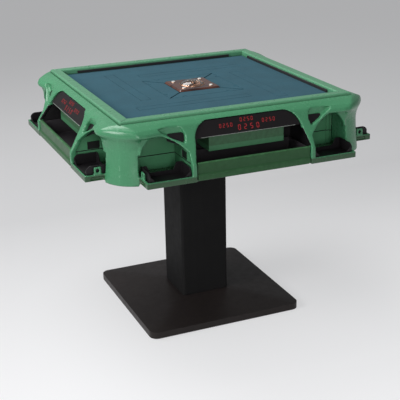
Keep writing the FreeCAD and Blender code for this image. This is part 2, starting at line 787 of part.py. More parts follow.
def gusset(hand):
    """The web that rounds a bay's arch off beside its post, under the band."""
    edge, face = post_section(*POST_SHARES[-1][1:])[1]
    face, top = face - value("gusset_setback"), value(BAY_TOP)
    foot, crown = top - value("gusset_height"), edge - value("gusset_run")
    far, (along, up) = edge + value("gusset_lap"), GUSSET_ARC_SHARES
    places = [(edge, foot), (edge - along * (edge - crown), foot + up * (top - foot)), (crown, top)]
    places += [(far, top), (far, foot)]
    points = [Vector(hand * x, -face, z) for x, z in places]
    edges = [Part.Arc(*points[:3]).toShape()]
    edges += [Part.LineSegment(*ends).toShape() for ends in zip(points[2:], points[3:] + points[:1])]
    return Part.Face(Part.Wire(edges)).extrude(Vector(0, value("gusset_thickness"), 0))


def bracket(hand):
    """The shelf of a bay: a floor back to the tub, a lip at its grooved end and a slotted lug on the lip."""
    inner, end, lip = value(PORTAL_HALF), value(BRACKET_END), value("bracket_lip")
    tub, front = value(TUB_FACE), value(f"{HALF} - bracket_front_lip / 2")
    low, seat, top = value(BRACKET_BOTTOM), value(BRACKET_SEAT), value(BRACKET_TOP)
    lug, lug_height, slab = value("lug_width"), value("lug_height"), value("lug_thickness")
    lug_front = value(f"{HALF} - lug_back_inset")
    slot, slot_height = value("lug_slot_width"), value("lug_slot_height")
    lip_back = value(f"{POST_INNER} + post_back_depth")
    floor = Part.makeBox(end - inner, front - tub, seat - low, Vector(inner, -front, low))
    floor = floor.common(front_sector(low, seat))
    end_lip = Part.makeBox(lip, front - lip_back, top - low, Vector(end - lip, -front, low))
    ear = Part.makeBox(slab, lug, lug_height + top - seat, Vector(end - slab, -lug_front, seat))
    hole_place = Vector(end - 2 * slab, (lug - slot) / 2 - lug_front, top + (lug_height - slot_height) / 2)
    hole = Part.makeBox(3 * slab, slot, slot_height, hole_place)
    groove_back = lip_back + value("bracket_groove_setback")
    groove_front = front - value("bracket_groove_margin")
    depth, height = value("bracket_groove_depth"), value("bracket_groove_height")
    groove_place = Vector(end - depth, -groove_front, low + value("bracket_groove_rise"))
    groove = Part.makeBox(2 * depth, groove_front - groove_back, height, groove_place)
    shelf = floor.fuse([end_lip, ear]).cut([hole, groove])
    return shelf if hand > 0 else shelf.mirror(Vector(), Vector(1, 0, 0))


def tray_pocket(hand):
    """What the wall gives up along a bay's shelf, so that only a thin lip is left in front of the tray."""
    inner, outer = value(PILLAR_OUTER), value(f"{BRACKET_END} - bracket_lip")
    back, front = value(LIP_BACK), value(f"{HALF} - bracket_front_lip")
    seat, overrun = value(BRACKET_SEAT), value("overrun")
    height = value(BRACKET_TOP) - seat + overrun
    pocket = Part.makeBox(outer - inner, front - back + overrun, height, Vector(inner, -front, seat))
    return pocket if hand > 0 else pocket.mirror(Vector(), Vector(1, 0, 0))


def drawer_shelf():
    """The plate between the brackets that the drawer runs on."""
    half, lap = value(f"{PORTAL_HALF} + shelf_lap"), value("shelf_thickness")
    tub, front = value(TUB_FACE), value(LIP_BACK)
    return Part.makeBox(2 * half, front - tub, lap, Vector(-half, -front, value(SHELF_TOP) - lap))


def side_frames():
    """One moulding per side: arched wall, brackets, band and half posts, meeting at the corner creases."""
    hands = ENDS.values()
    overrun = value("overrun")
    wall = leaning_wall().cut([through_wall(bay_outline(hand), 0) for hand in hands])
    low, top = value(SHOULDER_BOTTOM), value("rim_top_height")
    band = shoulder_band().common(front_sector(low - overrun, top))
    shell = wall.fuse(band)
    back = value(f"{GROOVE_OUTER} + shell_thickness")
    portal = through_wall(arch_outline(0, value(BODY_BOTTOM) - overrun), back)
    eye_back = value(f"{HALF} - eye_back_inset")
    shell = shell.cut([portal] + [through_wall(eye_outline(hand), eye_back) for hand in hands])
    extras = [make(hand) for make in (half_post, gusset, bracket) for hand in hands] + [drawer_shelf()]
    moulding = shell.fuse(extras).cut([tray_pocket(hand) for hand in hands]).removeSplitter()
    for side in SIDES:
        node(f"side_frame_{side}", feature("SideFrame", moulding), side)


# Playing field


def rim_rails():
    """Four mitred rails round the field, bevelled at the top."""
    inner, outer = value(RIM_INNER), value(RIM_OUTER)
    seat, top, bevel = value(RIM_SEAT), value("rim_top_height"), value("rim_bevel")
    shoulder = top - bevel
    outline = [(inner, seat), (inner, shoulder), (inner + bevel, top)]
    outline += [(outer - bevel, top), (outer, shoulder), (outer, seat)]
    points = [Vector(-outer, -reach, height) for reach, height in outline]
    rail = prism(points, Vector(2 * outer, 0, 0)).common(front_sector(seat, top))
    for side in SIDES:
        node(f"rim_rail_{side}", feature("RimRail", rail), side)
    strips = []
    for side in SIDES:
        strip = block(
            "BumperStrip",
            centred(f"2 * {RIM_INNER} - 2 * bumper_end_gap"),
            (f"-{RIM_INNER}", "bumper_thickness"),
            (f"{RIM_SEAT} + bumper_lift", "bumper_height"),
        )
        holder = group("Bumper", [strip])
        holder.Placement = turned(side)
        strips.append(holder)
    node("rim_bumpers", group("RimBumpers", strips))


def lift_slot(sketch, gap):
    """A tile lift's place on the front side, longer towards the player's left."""
    add_rectangle(
        sketch,
        "Slot",
        f"-{LIFT_FAR_END} + {gap}",
        f"lift_near_reach - {gap}",
        f"-{LIFT_OFFSET} - lift_slot_width / 2 + {gap}",
        f"-{LIFT_OFFSET} + lift_slot_width / 2 - {gap}",
    )


def field_plate(name, bottom, thickness):
    """A square plate of the field with the centre opening and four lift slots."""
    body = doc.addObject("PartDesign::Body", name)
    plate = sketch_on(body, name + "Plate", height=bottom)
    add_square(plate, "Edge", FIELD_WIDTH)
    add_square(plate, "Opening", FLAP_OPENING)
    padded(body, plate, thickness)
    slot = sketch_on(body, name + "Slot", height=f"{bottom} + {thickness}")
    lift_slot(slot, "0")
    patterned(body, pocketed(body, slot, thickness), len(SIDES))
    return body


def hinge_lug(hand):
    """A knuckle on the board's opening that holds a flap's pin."""
    west = f"{hand} * {HINGE_SPACING} / 2 - hinge_lug_width / 2"
    knuckle = block(
        "Knuckle",
        (west, "hinge_lug_width"),
        (f"-{FLAP_OPENING} / 2", "flap_pin_inset + hinge_lug_radius"),
        (f"{RIM_SEAT} - flap_thickness", "flap_thickness"),
    )
    bore = rod(
        "KnuckleBore",
        "flap_pin_diameter + 2 * bearing_gap",
        f"{west} - overrun",
        f"-{PIN_REACH}",
        PIN_HEIGHT,
        "hinge_lug_width + 2 * overrun",
        along_x=True,
    )
    return cut("HingeLug", knuckle, bore)


def play_field():
    """The board with its hinge lugs, and the mat on it."""
    pieces = [field_plate("BoardPlate", BOARD_BOTTOM, "board_thickness")]
    for side in SIDES:
        lugs = group("HingeLugs", [hinge_lug(hand) for hand in ENDS.values()])
        lugs.Placement = turned(side)
        pieces.append(lugs)
    node("play_board", fuse("PlayBoard", *pieces))
    node("playing_mat", field_plate("PlayingMat", MAT_BOTTOM, "mat_thickness"))


def tile_lifts():
    """Four platforms flush with the mat, each on two rods that run in upright guides."""
    guides = []
    for side in SIDES:
        body = doc.addObject("PartDesign::Body", "LiftPlatform")
        platform = sketch_on(body, "LiftTop", height=f"{RIM_SEAT} - lift_thickness")
        lift_slot(platform, "lift_slot_gap")
        padded(body, platform, "lift_thickness")
        rods = []
        for x in (f"lift_rod_inset - {LIFT_FAR_END}", "lift_near_reach - lift_rod_inset"):
            y, rod_foot = f"-{LIFT_OFFSET}", f"({FLOOR} + lift_rod_clearance)"
            rod_length = f"{RIM_SEAT} - lift_thickness - {rod_foot}"
            rods.append(rod("LiftRod", "lift_rod_diameter", x, y, rod_foot, rod_length))
            tube = rod("GuideTube", "guide_diameter", x, y, FLOOR, f"{GUIDE_TOP} - {FLOOR}")
            foot = rod("GuideFoot", "guide_foot_diameter", x, y, FLOOR, "guide_foot_thickness")
            bore_width, bore_foot = "lift_rod_diameter + 2 * bearing_gap", f"{FLOOR} + guide_foot_thickness"
            bore = rod("GuideBore", bore_width, x, y, bore_foot, f"{GUIDE_TOP} - {FLOOR}")
            guide = cut("LiftGuide", fuse("GuideBody", tube, foot), bore)
            guide.Placement = turned(side)
            guides.append(guide)
        node(f"tile_lift_{side}", fuse("TileLift", body, *rods), side)
    node("lift_guides", group("LiftGuides", guides))


def centre_flaps():
    """Four mitred flaps round the console, each notched for two knuckles with a pin across each notch."""
    inner, outer = value("console_width / 2 + flap_gap"), value(f"{FLAP_OPENING} / 2 - flap_gap")
    bottom, thickness = value(f"{RIM_SEAT} - flap_thickness"), value("flap_thickness")
    slack = value("flap_mitre_gap")
    plan = [(slack - outer, -outer), (outer - slack, -outer)]
    plan += [(inner - slack, -inner), (slack - inner, -inner)]
    plate_shape = prism([Vector(x, y, bottom) for x, y in plan], Vector(0, 0, thickness))
    notch_width = "(hinge_lug_width + 2 * hinge_notch_gap)"
    pin_length = f"({notch_width} + 2 * hinge_lug_width)"
    for side in SIDES:
        notches, pins = [], []
        for hand in ENDS.values():
            middle = f"{hand} * {HINGE_SPACING} / 2"
            notches.append(
                block(
                    "FlapNotch",
                    (f"{middle} - {notch_width} / 2", notch_width),
                    (f"-{FLAP_OPENING} / 2", "flap_pin_inset + hinge_lug_radius + 2 * hinge_notch_gap"),
                    (f"{RIM_SEAT} - flap_thickness - overrun", "flap_thickness + 2 * overrun"),
                )
            )
            west, y = f"{middle} - {pin_length} / 2", f"-{PIN_REACH}"
            pins.append(rod("FlapPin", "flap_pin_diameter", west, y, PIN_HEIGHT, pin_length, along_x=True))
        plate = cut("FlapPlate", feature("FlapBlank", plate_shape), *notches)
        node(f"centre_flap_{side}", fuse("CentreFlap", plate, *pins), side)


def console():
    """The square console on its lift post, with four button wells, dice under a dome and four buttons."""
    width, bevel = value("console_width / 2"), value("console_bevel")
    low, top = value(CONSOLE_BOTTOM), value(CONSOLE_TOP)
    ledge = top - bevel
    rings = [rounded_square(half, bevel, level) for half, level in ((width, ledge), (width - bevel, top))]
    side = Part.Face(rounded_square(width, bevel, low)).extrude(Vector(0, 0, ledge - low))
    block_shape = feature("ConsoleBlock", side.fuse(Part.makeLoft(rings, True, True)).removeSplitter())
    post_foot = f"({FLOOR} + console_post_clearance)"
    post = rod("LiftPost", "console_post_diameter", "0", "0", post_foot, f"{CONSOLE_BOTTOM} - {post_foot}")
    stem_foot = f"{CONSOLE_TOP} - button_stem_length"
    wells = []
    for corner, (x, y) in zip(CORNERS, corners("2 * button_offset")):
        wells.append(
            rod(
                "ButtonWell",
                "button_diameter + 2 * running_gap",
                x,
                y,
                f"{stem_foot} - button_travel - running_gap",
                "button_stem_length + button_travel + running_gap + overrun",
            )
        )
        button = rod("DiceButton", "button_diameter", x, y, stem_foot, "button_stem_length + button_stand")
        node(f"dice_button_{corner}", button)
    node("console_housing", cut("Console", fuse("ConsoleBody", block_shape, post), *wells))
    dice = []
    for hand in ENDS.values():
        place = f"{hand} * die_spacing / 2 - die_size / 2"
        dice.append(block("Die", (place, "die_size"), centred("die_size"), (CONSOLE_TOP, "die_size")))
    node("dice_pair", group("DicePair", dice))


def dice_dome():
    """A clear cap, thin all over, that stands on the console."""
    half, rise, wall = value("dome_diameter / 2"), value("dome_height"), value("dome_wall")
    radius = (half * half + rise * rise) / (2 * rise)
    top = value(CONSOLE_TOP)
    centre = Vector(0, 0, top + rise - radius)
    shell = Part.makeSphere(radius, centre).cut(Part.makeSphere(radius - wall, centre))
    room = Part.makeCylinder(half + wall, rise + wall, Vector(0, 0, top))
    node("dice_dome", feature("DiceDome", shell.common(room)))


# Score panels, drawers and trays


def score_panels():
    """A dark panel per side that fills the head of the arch, leaning with the wall."""
    low, top = value(f"{PORTAL_TOP} - panel_height"), value(PORTAL_TOP)
    front, thickness = value("panel_setback"), value("panel_thickness")
    half = value(PORTAL_HALF)
    outline = [(wall_reach(low) - front, low), (wall_reach(top) - front, top)]
    outline += [(reach - thickness, height) for reach, height in reversed(outline)]
    points = [Vector(-half, -reach, height) for reach, height in outline]
    slab = prism(points, Vector(2 * half, 0, 0))
    head = through_wall(arch_outline(value("panel_margin"), value(BODY_BOTTOM)), value(TUB_FACE))
    seat = value(f"{GROOVE_OUTER} + shell_thickness + running_gap")
    face_room = Part.makeBox(2 * half, value(HALF) - seat, top - low, Vector(-half, -value(HALF), low))
    panel = slab.common(head).common(face_room)
    for side in SIDES:
        node(f"score_panel_{side}", feature("ScorePanel", panel), side)


def drawers():
    """A tray and its front per side, between the pillars, running out on the shelf."""
    for side in SIDES:
        half = f"({PORTAL_HALF} - drawer_side_gap)"
        outer = block(
            "TrayOuter",
            (f"-{half}", f"2 * {half}"),
            (f"-{DRAWER_BACK_FACE}", DRAWER_DEPTH),
            (DRAWER_BOTTOM, "drawer_tray_height"),
        )
        room = block(
            "TrayRoom",
            (f"drawer_wall - {half}", f"2 * {half} - 2 * drawer_wall"),
            (f"drawer_wall - {DRAWER_BACK_FACE}", f"{DRAWER_DEPTH} - 2 * drawer_wall"),
            (f"{DRAWER_BOTTOM} + drawer_wall", "drawer_tray_height"),
        )
        node(f"drawer_tray_{side}", cut("DrawerTray", outer, room), side)
        body = doc.addObject("PartDesign::Body", "DrawerFront")
        profile = sketch_on(body, "DrawerFrontProfile", "YZ_Plane", f"drawer_joint - {PORTAL_HALF}")
        face = f"drawer_lip_depth - {HALF}"
        step = f"({DRAWER_FRONT_BOTTOM} + drawer_lip_height)"
        add_profile(
            profile,
            "Point",
            [
                (f"-{DRAWER_BACK_FACE}", DRAWER_FRONT_BOTTOM),
                (f"-{HALF}", DRAWER_FRONT_BOTTOM),
                (f"-{HALF}", step),
                (face, f"{step} + drawer_lip_depth"),
                (face, f"{DRAWER_FRONT_TOP} - drawer_lip_depth / 2"),
                (f"{face} + drawer_lip_depth / 2", DRAWER_FRONT_TOP),
                (f"-{DRAWER_BACK_FACE}", DRAWER_FRONT_TOP),
            ],
        )
        padded(body, profile, f"2 * {PORTAL_HALF} - 2 * drawer_joint")
        node(f"drawer_front_{side}", body, side)


def wall_notch(ends, margin, slope, place, heights):
    """A cut through a tray's front or back wall, wider at the top than at the bottom."""
    inner, outer = ends[0] + margin, ends[1] - margin
    low, top = heights
    wall, overrun = value("tray_wall"), value("overrun")
    outline = [(inner + slope, low), (outer - slope, low), (outer, top), (outer, top + overrun)]
    outline += [(inner, top + overrun), (inner, top)]
    return prism([Vector(x, place - wall, z) for x, z in outline], Vector(0, 2 * wall, 0))


def corner_tray(hand):
    """A black tray with high curved end cheeks, open to the front over a low edge and notched at the back."""
    inner, outer = value(f"{PILLAR_OUTER} + tray_gap"), value(f"{BRACKET_END} - bracket_lip - tray_gap")
    front, back = value(f"{HALF} - bracket_front_lip - tray_gap"), value(f"{TUB_FACE} + tray_back_gap")
    wall = value("tray_wall")
    low = value(f"{BRACKET_SEAT} + running_gap")
    high, cheek = low + value("tray_back_height"), low + value("tray_cheek_front_height")
    shoulder = back + value("tray_cheek_run")
    along, down = CHEEK_ARC_SHARES
    bend = Vector(inner, -(shoulder + along * (front - shoulder)), high - down * (high - cheek))
    start, end = Vector(inner, -shoulder, high), Vector(inner, -front, cheek)
    foot_front, foot_back = Vector(inner, -front, low), Vector(inner, -back, low)
    back_top = Vector(inner, -back, high)
    edges = [
        Part.Arc(start, bend, end).toShape(),
        Part.LineSegment(end, foot_front).toShape(),
        Part.LineSegment(foot_front, foot_back).toShape(),
        Part.LineSegment(foot_back, back_top).toShape(),
        Part.LineSegment(back_top, start).toShape(),
    ]
    solid = Part.Face(Part.Wire(edges)).extrude(Vector(outer - inner, 0, 0))
    room_place = Vector(inner + wall, wall - front, low + wall)
    room = Part.makeBox(outer - inner - 2 * wall, front - back - 2 * wall, high - low, room_place)
    ends = (inner, outer)
    margin, slope = value("tray_notch_margin"), value("tray_notch_slope")
    notch = wall_notch(ends, margin, slope, -back, (high - value("tray_notch_depth"), high))
    margin, slope = value("tray_mouth_margin"), value("tray_mouth_slope")
    mouth = wall_notch(ends, margin, slope, -front, (low + value("tray_front_height"), cheek))
    tray = solid.cut([room, notch, mouth])
    return tray if hand > 0 else tray.mirror(Vector(), Vector(1, 0, 0))


def corner_trays():
    for side in SIDES:
        for end, hand in ENDS.items():
            node(f"corner_tray_{side}_{end}", feature("CornerTray", corner_tray(hand)), side)


# Shuffling drum and drive


def shuffling_drum():
    """A fixed sleeve at the centre, the disc that turns on it and the wall round the disc."""
    bore = "(console_post_diameter / 2 + bearing_gap)"
    sleeve = turned_solid(
        "CentreSleeve",
        [
            (bore, FLOOR),
            ("collar_diameter / 2", FLOOR),
            ("collar_diameter / 2", f"{COLLAR_BOTTOM} + collar_thickness"),
            ("sleeve_diameter / 2", f"{COLLAR_BOTTOM} + collar_thickness"),
            ("sleeve_diameter / 2", GUIDE_TOP),
            (bore, GUIDE_TOP),
        ],
    )
    node("centre_sleeve", sleeve)
    hub_bore = "(sleeve_diameter / 2 + bearing_gap)"
    disc = turned_solid(
        "ShuffleDisc",
        [
            (hub_bore, HUB_BOTTOM),
            ("hub_diameter / 2", HUB_BOTTOM),
            ("hub_diameter / 2", DISC_BOTTOM),
            (DISC_RADIUS, DISC_BOTTOM),
            (DISC_RADIUS, DISC_TOP),
            ("hub_diameter / 2", DISC_TOP),
            ("hub_diameter / 2", f"{HUB_BOTTOM} + hub_height"),
            (hub_bore, f"{HUB_BOTTOM} + hub_height"),
        ],
    )
    node("shuffle_disc", disc)
    drum_top = f"{RIM_SEAT} - drum_drop"
    wall = turned_solid(
        "DrumWall",
        [
            (DRUM_ROOM, FLOOR),
            ("drum_diameter / 2", FLOOR),
            ("drum_diameter / 2", drum_top),
            (DRUM_ROOM, drum_top),
        ],
    )
    node("drum_wall", wall)


def disc_drive():
    """A motor on a foot, and the wheel on its shaft that rolls under the disc."""
    wheel_inner = f"({DISC_RADIUS} - wheel_inset - wheel_width / 2)"
    motor_end = f"({wheel_inner} - motor_gap)"
    motor_back = f"{motor_end} - motor_length"
    case = rod("MotorCase", "motor_diameter", motor_back, "0", AXLE_HEIGHT, "motor_length", True)
    shaft_foot, shaft_length = f"{motor_end} - motor_gap", "2 * motor_gap + wheel_width"
    shaft = rod("MotorShaft", "shaft_diameter", shaft_foot, "0", AXLE_HEIGHT, shaft_length, True)
    foot = block(
        "MotorFoot",
        (motor_back, "motor_length"),
        centred("motor_foot_width"),
        (FLOOR, f"{AXLE_HEIGHT} - {FLOOR}"),
    )
    node("drive_motor", fuse("DriveMotor", case, shaft, foot))
    tread = rod("WheelTread", "wheel_diameter", wheel_inner, "0", AXLE_HEIGHT, "wheel_width", True)
    bore = rod(
        "WheelBore",
        "shaft_diameter + 2 * bearing_gap",
        f"{wheel_inner} - overrun",
        "0",
        AXLE_HEIGHT,
        "wheel_width + 2 * overrun",
        True,
    )
    node("drive_wheel", cut("DriveWheel", tread, bore))


def electrics():
    """The control box on the tub's floor and the power inlet under it."""
    guide_face = f"({LIFT_OFFSET} + guide_foot_diameter / 2)"
    room = f"({TUB_FACE} - tub_wall - {guide_face})"
    start, end = CONTROL_BOX_SHARES
    box = block(
        "ControlBox",
        (f"{guide_face} + {start} * {room}", f"{end - start} * {room}"),
        centred("control_box_length"),
        (FLOOR, "control_box_height"),
    )
    node("control_box", box)
    inlet = block(
        "PowerInlet",
        centred("inlet_width"),
        ("top_plate_width / 2 + inlet_gap", "inlet_depth"),
        (f"{BODY_BOTTOM} - inlet_height", "inlet_height"),
    )
    node("power_inlet", inlet)


def check_document():
    """Stops if any object failed or any sub-part has no sound shape."""
    for item in doc.Objects:
        if "Invalid" in item.State or "Error" in item.State:
            raise RuntimeError(f"{item.Label} failed: {item.State}")
    for item in nodes:
        if item.Shape.isNull() or not item.Shape.isValid():
            raise RuntimeError(f"{item.Label} has no sound shape")


def write_parts():
    os.makedirs("parts", exist_ok=True)
    for item in nodes:
        item.Shape.exportStep(f"parts/{item.Label}.step")


base_plate()
base_column()
pedestal_bolts()
lower_tub()
upper_housing()
side_frames()
rim_rails()
play_field()
tile_lifts()
centre_flaps()
console()
dice_dome()
score_panels()
drawers()
corner_trays()
shuffling_drum()
disc_drive()
electrics()
doc.recompute()
check_document()
write_parts()
print(len(nodes), "sub-parts written")
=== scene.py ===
"""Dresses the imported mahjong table: soft mouldings, cloth field, score displays, finishes and a stage."""
import math
from functools import partialmethod

import bmesh
import bpy
from bpy.props import FloatProperty, FloatVectorProperty, IntProperty, PointerProperty
from mathutils import Matrix, Vector
from mathutils.bvhtree import BVHTree


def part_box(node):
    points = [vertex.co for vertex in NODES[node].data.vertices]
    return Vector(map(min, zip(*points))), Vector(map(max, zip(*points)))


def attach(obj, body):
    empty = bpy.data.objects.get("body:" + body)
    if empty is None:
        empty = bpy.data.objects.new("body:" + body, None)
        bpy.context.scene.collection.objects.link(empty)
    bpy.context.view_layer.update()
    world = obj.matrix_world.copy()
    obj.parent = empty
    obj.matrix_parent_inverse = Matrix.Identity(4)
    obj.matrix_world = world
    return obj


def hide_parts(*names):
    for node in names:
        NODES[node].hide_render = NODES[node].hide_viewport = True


bl_info = {
    "name": "Mahjong Table Looks",
    "version": (1, 0, 0),
    "blender": (4, 5, 0),
    "location": "View3D > Sidebar > Table",
    "description": "Finishes, soft mouldings and small fittings for a packed mahjong table",
    "category": "Object",
}

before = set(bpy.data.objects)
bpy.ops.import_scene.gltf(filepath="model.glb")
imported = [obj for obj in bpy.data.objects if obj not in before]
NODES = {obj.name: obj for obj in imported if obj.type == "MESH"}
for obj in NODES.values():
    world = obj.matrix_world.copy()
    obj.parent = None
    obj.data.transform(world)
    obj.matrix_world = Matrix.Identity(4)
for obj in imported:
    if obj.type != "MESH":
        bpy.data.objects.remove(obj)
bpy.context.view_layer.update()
SIDES = ("front", "right", "back", "left")
ENDS = ("left", "right")
CORNERS = ("front_left", "back_left", "front_right", "back_right")
MM = 0.001
# How near two points of a mesh count as one
JOIN = 0.01 * MM
X, Y, Z = (Vector(row) for row in Matrix.Identity(3))
MITRE = (X + Y).normalized()
# The walls between a portal and its bays: their place from the side's middle and their thickness
WALL_PLACE = 0.18
WALL_THICKNESS = 4 * MM


# Settings

def colour(description, default):
    return FloatVectorProperty(
        description=description, default=default, subtype="COLOR", size=3, min=0, max=1
    )


def metres(description, default):
    return FloatProperty(description=description, default=default, min=0, unit="LENGTH", precision=5)


def bearing(description, degrees):
    return FloatProperty(description=description, default=math.radians(degrees), subtype="ANGLE")


def repeats(description, default):
    return IntProperty(description=description, default=default, min=0)


class TableColours(bpy.types.PropertyGroup):
    """Colours of the table's finishes"""

    frame_green: colour("Side frames", (0.066, 0.27, 0.13))
    # Darker green plastic of the drawer fronts, partly painted shade; on the shelf fronts and hoods it is
    # painted shade
    drawer_green: colour("Drawer fronts, shelf fronts and hoods", (0.031, 0.094, 0.038))
    rim_green: colour("Rails round the playing field", (0.098, 0.298, 0.162))
    housing_green: colour("Tub and upper housing", (0.075, 0.27, 0.13))
    # Painted shade and black lining on the walls and pillar sides round the portals
    shade_black: colour("Walls and pillar sides round the portals", (0.009, 0.008, 0.009))
    # The same black is on the blocks of painted shade behind the bays' windows
    tray_black: colour("Corner trays, rubber and panel ends", (0.011, 0.0095, 0.011))
    drawer_black: colour("Drawer trays", (0.034, 0.03, 0.034))
    cloth_teal: colour("Playing mat, lifts and flaps", (0.023, 0.09, 0.124))
    window_black: colour("Score display windows", (0.012, 0.01, 0.011))
    digit_red: colour("Lit digits", (0.42, 0.02, 0.025))
    trim_pale: colour("Lower edge of the displays", (0.2, 0.22, 0.2))
    rosewood_dark: colour("Dark figure of the console", (0.03, 0.009, 0.007))
    rosewood_light: colour("Light figure of the console", (0.11, 0.036, 0.022))
    copper: colour("Ring and dish under the dome, and collars", (0.85, 0.5, 0.33))
    base_brown: colour("Enamel of the base plate", (0.022, 0.0175, 0.0168))
    column_black: colour("Coating of the column", (0.0155, 0.0152, 0.0155))
    floor_pale: colour("Studio floor", (0.78, 0.78, 0.79))


class TableForms(bpy.types.PropertyGroup):
    """Sizes of the softened and added forms"""

    frame_voxel: metres("Mesh size of the moulded frames", 2.2 * MM)
    frame_rounds: repeats("How far the frames' edges are softened", 9)
    corner_rounds: repeats("How far the shoulders are softened", 130)
    rail_edge: metres("Rounding of the rim rails", 1.6 * MM)
    front_edge: metres("Rounding of the drawer fronts", 1.8 * MM)
    tray_edge: metres("Rounding of the trays' rims", 0.9 * MM)
    cloth_edge: metres("Rounding of the cloth's cut edges", 0.4 * MM)
    digit_depth: metres("How far the digits stand off their window", 0.3 * MM)


class TableStage(bpy.types.PropertyGroup):
    """Camera and light"""

    camera_place: FloatVectorProperty(
        description="Where the camera stands", default=(-1.1147, -2.7116, 1.4192), subtype="TRANSLATION"
    )
    azimuth: bearing("Bearing of the camera", -22.6855)
    elevation: bearing("Height angle of the camera", 20.4203)
    roll: bearing("Tilt of the picture", -1.17)
    lens: FloatProperty(description="Focal length in millimetres", default=87.97, min=1)
    sky: FloatProperty(description="Strength of the even light", default=0.26, min=0)


# Node trees

class Wiring:
    """Adds nodes to one node tree and joins them."""

    def __init__(self, tree):
        self.tree = tree

    def put(self, kind, inputs=None, **settings):
        node = self.tree.nodes.new("ShaderNode" + kind)
        for name, setting in settings.items():
            setattr(node, name, setting)
        for name, source in (inputs or {}).items():
            self.feed(node.inputs[name], source)
        return node

    def feed(self, socket, source):
        if isinstance(source, bpy.types.NodeSocket):
            self.tree.links.new(source, socket)
        else:
            socket.default_value = source

    def place(self):
        """Where a point is on the piece, at rest."""
        return self.put("TexCoord").outputs["Object"]

    def stretched(self, scale):
        return self.put("Mapping", {"Vector": self.place(), "Scale": scale}).outputs["Vector"]

    def clouds(self, vector, scale, detail=4.0, roughness=0.55):
        inputs = {"Vector": vector, "Scale": scale, "Detail": detail, "Roughness": roughness}
        return self.put("TexNoise", inputs).outputs["Fac"]

    def remap(self, source, low, high, new_low, new_high):
        inputs = {"Value": source, "From Min": low, "From Max": high, "To Min": new_low, "To Max": new_high}
        return self.put("MapRange", inputs).outputs["Result"]

    def combine(self, operation, first, second):
        node = self.put("Math", operation=operation)
        self.feed(node.inputs[0], first)
        self.feed(node.inputs[1], second)
        return node.outputs["Value"]

    plus = partialmethod(combine, "ADD")
    times = partialmethod(combine, "MULTIPLY")
    most = partialmethod(combine, "MAXIMUM")
    under = partialmethod(combine, "LESS_THAN")
    over = partialmethod(combine, "GREATER_THAN")

    def blend(self, first, share, second, other):
        """The sum of two values, each times its share."""
        return self.plus(self.times(first, share), self.times(second, other))

    def mixed(self, factor, first, second):
        """A colour between two colours."""
        node = self.put("Mix", data_type="RGBA")
        for place, source in ((0, factor), (6, first), (7, second)):
            self.feed(node.inputs[place], source)
        return node.outputs[2]

    def shaded(self, source, brightness):
        return self.put("HueSaturation", {"Color": source, "Value": brightness}).outputs["Color"]

    def give(self, **sources):
        """Makes and feeds the output sockets of a node group, and gives the group."""
        for label in sources:
            kind = "NodeSocketColor" if label == "Colour" else "NodeSocketFloat"
            self.tree.interface.new_socket(label, in_out="OUTPUT", socket_type=kind)
        made = self.tree.nodes.new("NodeGroupOutput").inputs
        for label, source in sources.items():
            self.feed(made[label], source)
        return self.tree


WHITE = (1, 1, 1, 1)


def effect(name, **inputs):
    """A new node group: its wiring and its input sockets, for a colour where the default is white."""
    tree = bpy.data.node_groups.new(name, "ShaderNodeTree")
    for label, default in inputs.items():
        kind = "NodeSocketColor" if default == WHITE else "NodeSocketFloat"
        tree.interface.new_socket(label, in_out="INPUT", socket_type=kind).default_value = default
    return Wiring(tree), tree.nodes.new("NodeGroupInput").outputs


def moulded_effect():
    """Moulded plastic: faint flow marks, clouded colour and a fine grain."""
    wire, given = effect("moulded_plastic", Colour=WHITE, Mottle=0.08, Gloss=0.3, Grain=900.0)
    clouds = wire.clouds(wire.place(), 6.0)
    flow = wire.clouds(wire.stretched((55, 55, 3)), 1.0, 3.0)
    tone = wire.combine("SUBTRACT", wire.blend(clouds, 0.65, flow, 0.35), 0.5)
    swing = wire.times(tone, wire.times(given["Mottle"], 4.0))
    rub = wire.clouds(wire.place(), 38.0, 6.0, 0.7)
    grain = wire.put("TexNoise", {"Vector": wire.place(), "Scale": given["Grain"]}).outputs["Fac"]
    return wire.give(
        Colour=wire.shaded(given["Colour"], wire.plus(swing, 1.0)),
        Roughness=wire.plus(given["Gloss"], wire.remap(rub, 0.3, 0.7, -0.05, 0.07)),
        Height=wire.blend(grain, 0.15, flow, 0.6),
    )


def edge_effect():
    """Paler worn outer edges, broken up by a noise."""
    wire, given = effect("edge_wear", Colour=WHITE, Edge=WHITE, Amount=0.5)
    ridge = wire.remap(wire.put("NewGeometry").outputs["Pointiness"], 0.51, 0.6, 0.0, 1.0)
    broken = wire.remap(wire.clouds(wire.place(), 90.0, 5.0), 0.35, 0.65, 0.2, 1.0)
    mask = wire.times(wire.times(ridge, broken), given["Amount"])
    return wire.give(Colour=wire.mixed(mask, given["Colour"], given["Edge"]))


def grime_and_shade_effect():
    """Darker in corners, creases and joints where the surroundings shut out light: settled dirt and painted
    shade.
    """
    wire, given = effect("corner_grime", Colour=WHITE, Grime=WHITE, Amount=0.5, Reach=0.02)
    # Painted shade: ambient occlusion darkens the colour where shade falls, broken up in patches as dirt
    open_share = wire.put("AmbientOcclusion", {"Distance": given["Reach"]}, samples=8).outputs["AO"]
    shut = wire.remap(open_share, 0.25, 0.85, 1.0, 0.0)
    patchy = wire.remap(wire.clouds(wire.place(), 24.0), 0.3, 0.7, 0.55, 1.0)
    mask = wire.times(wire.times(shut, patchy), given["Amount"])
    return wire.give(Colour=wire.mixed(mask, given["Colour"], given["Grime"]))


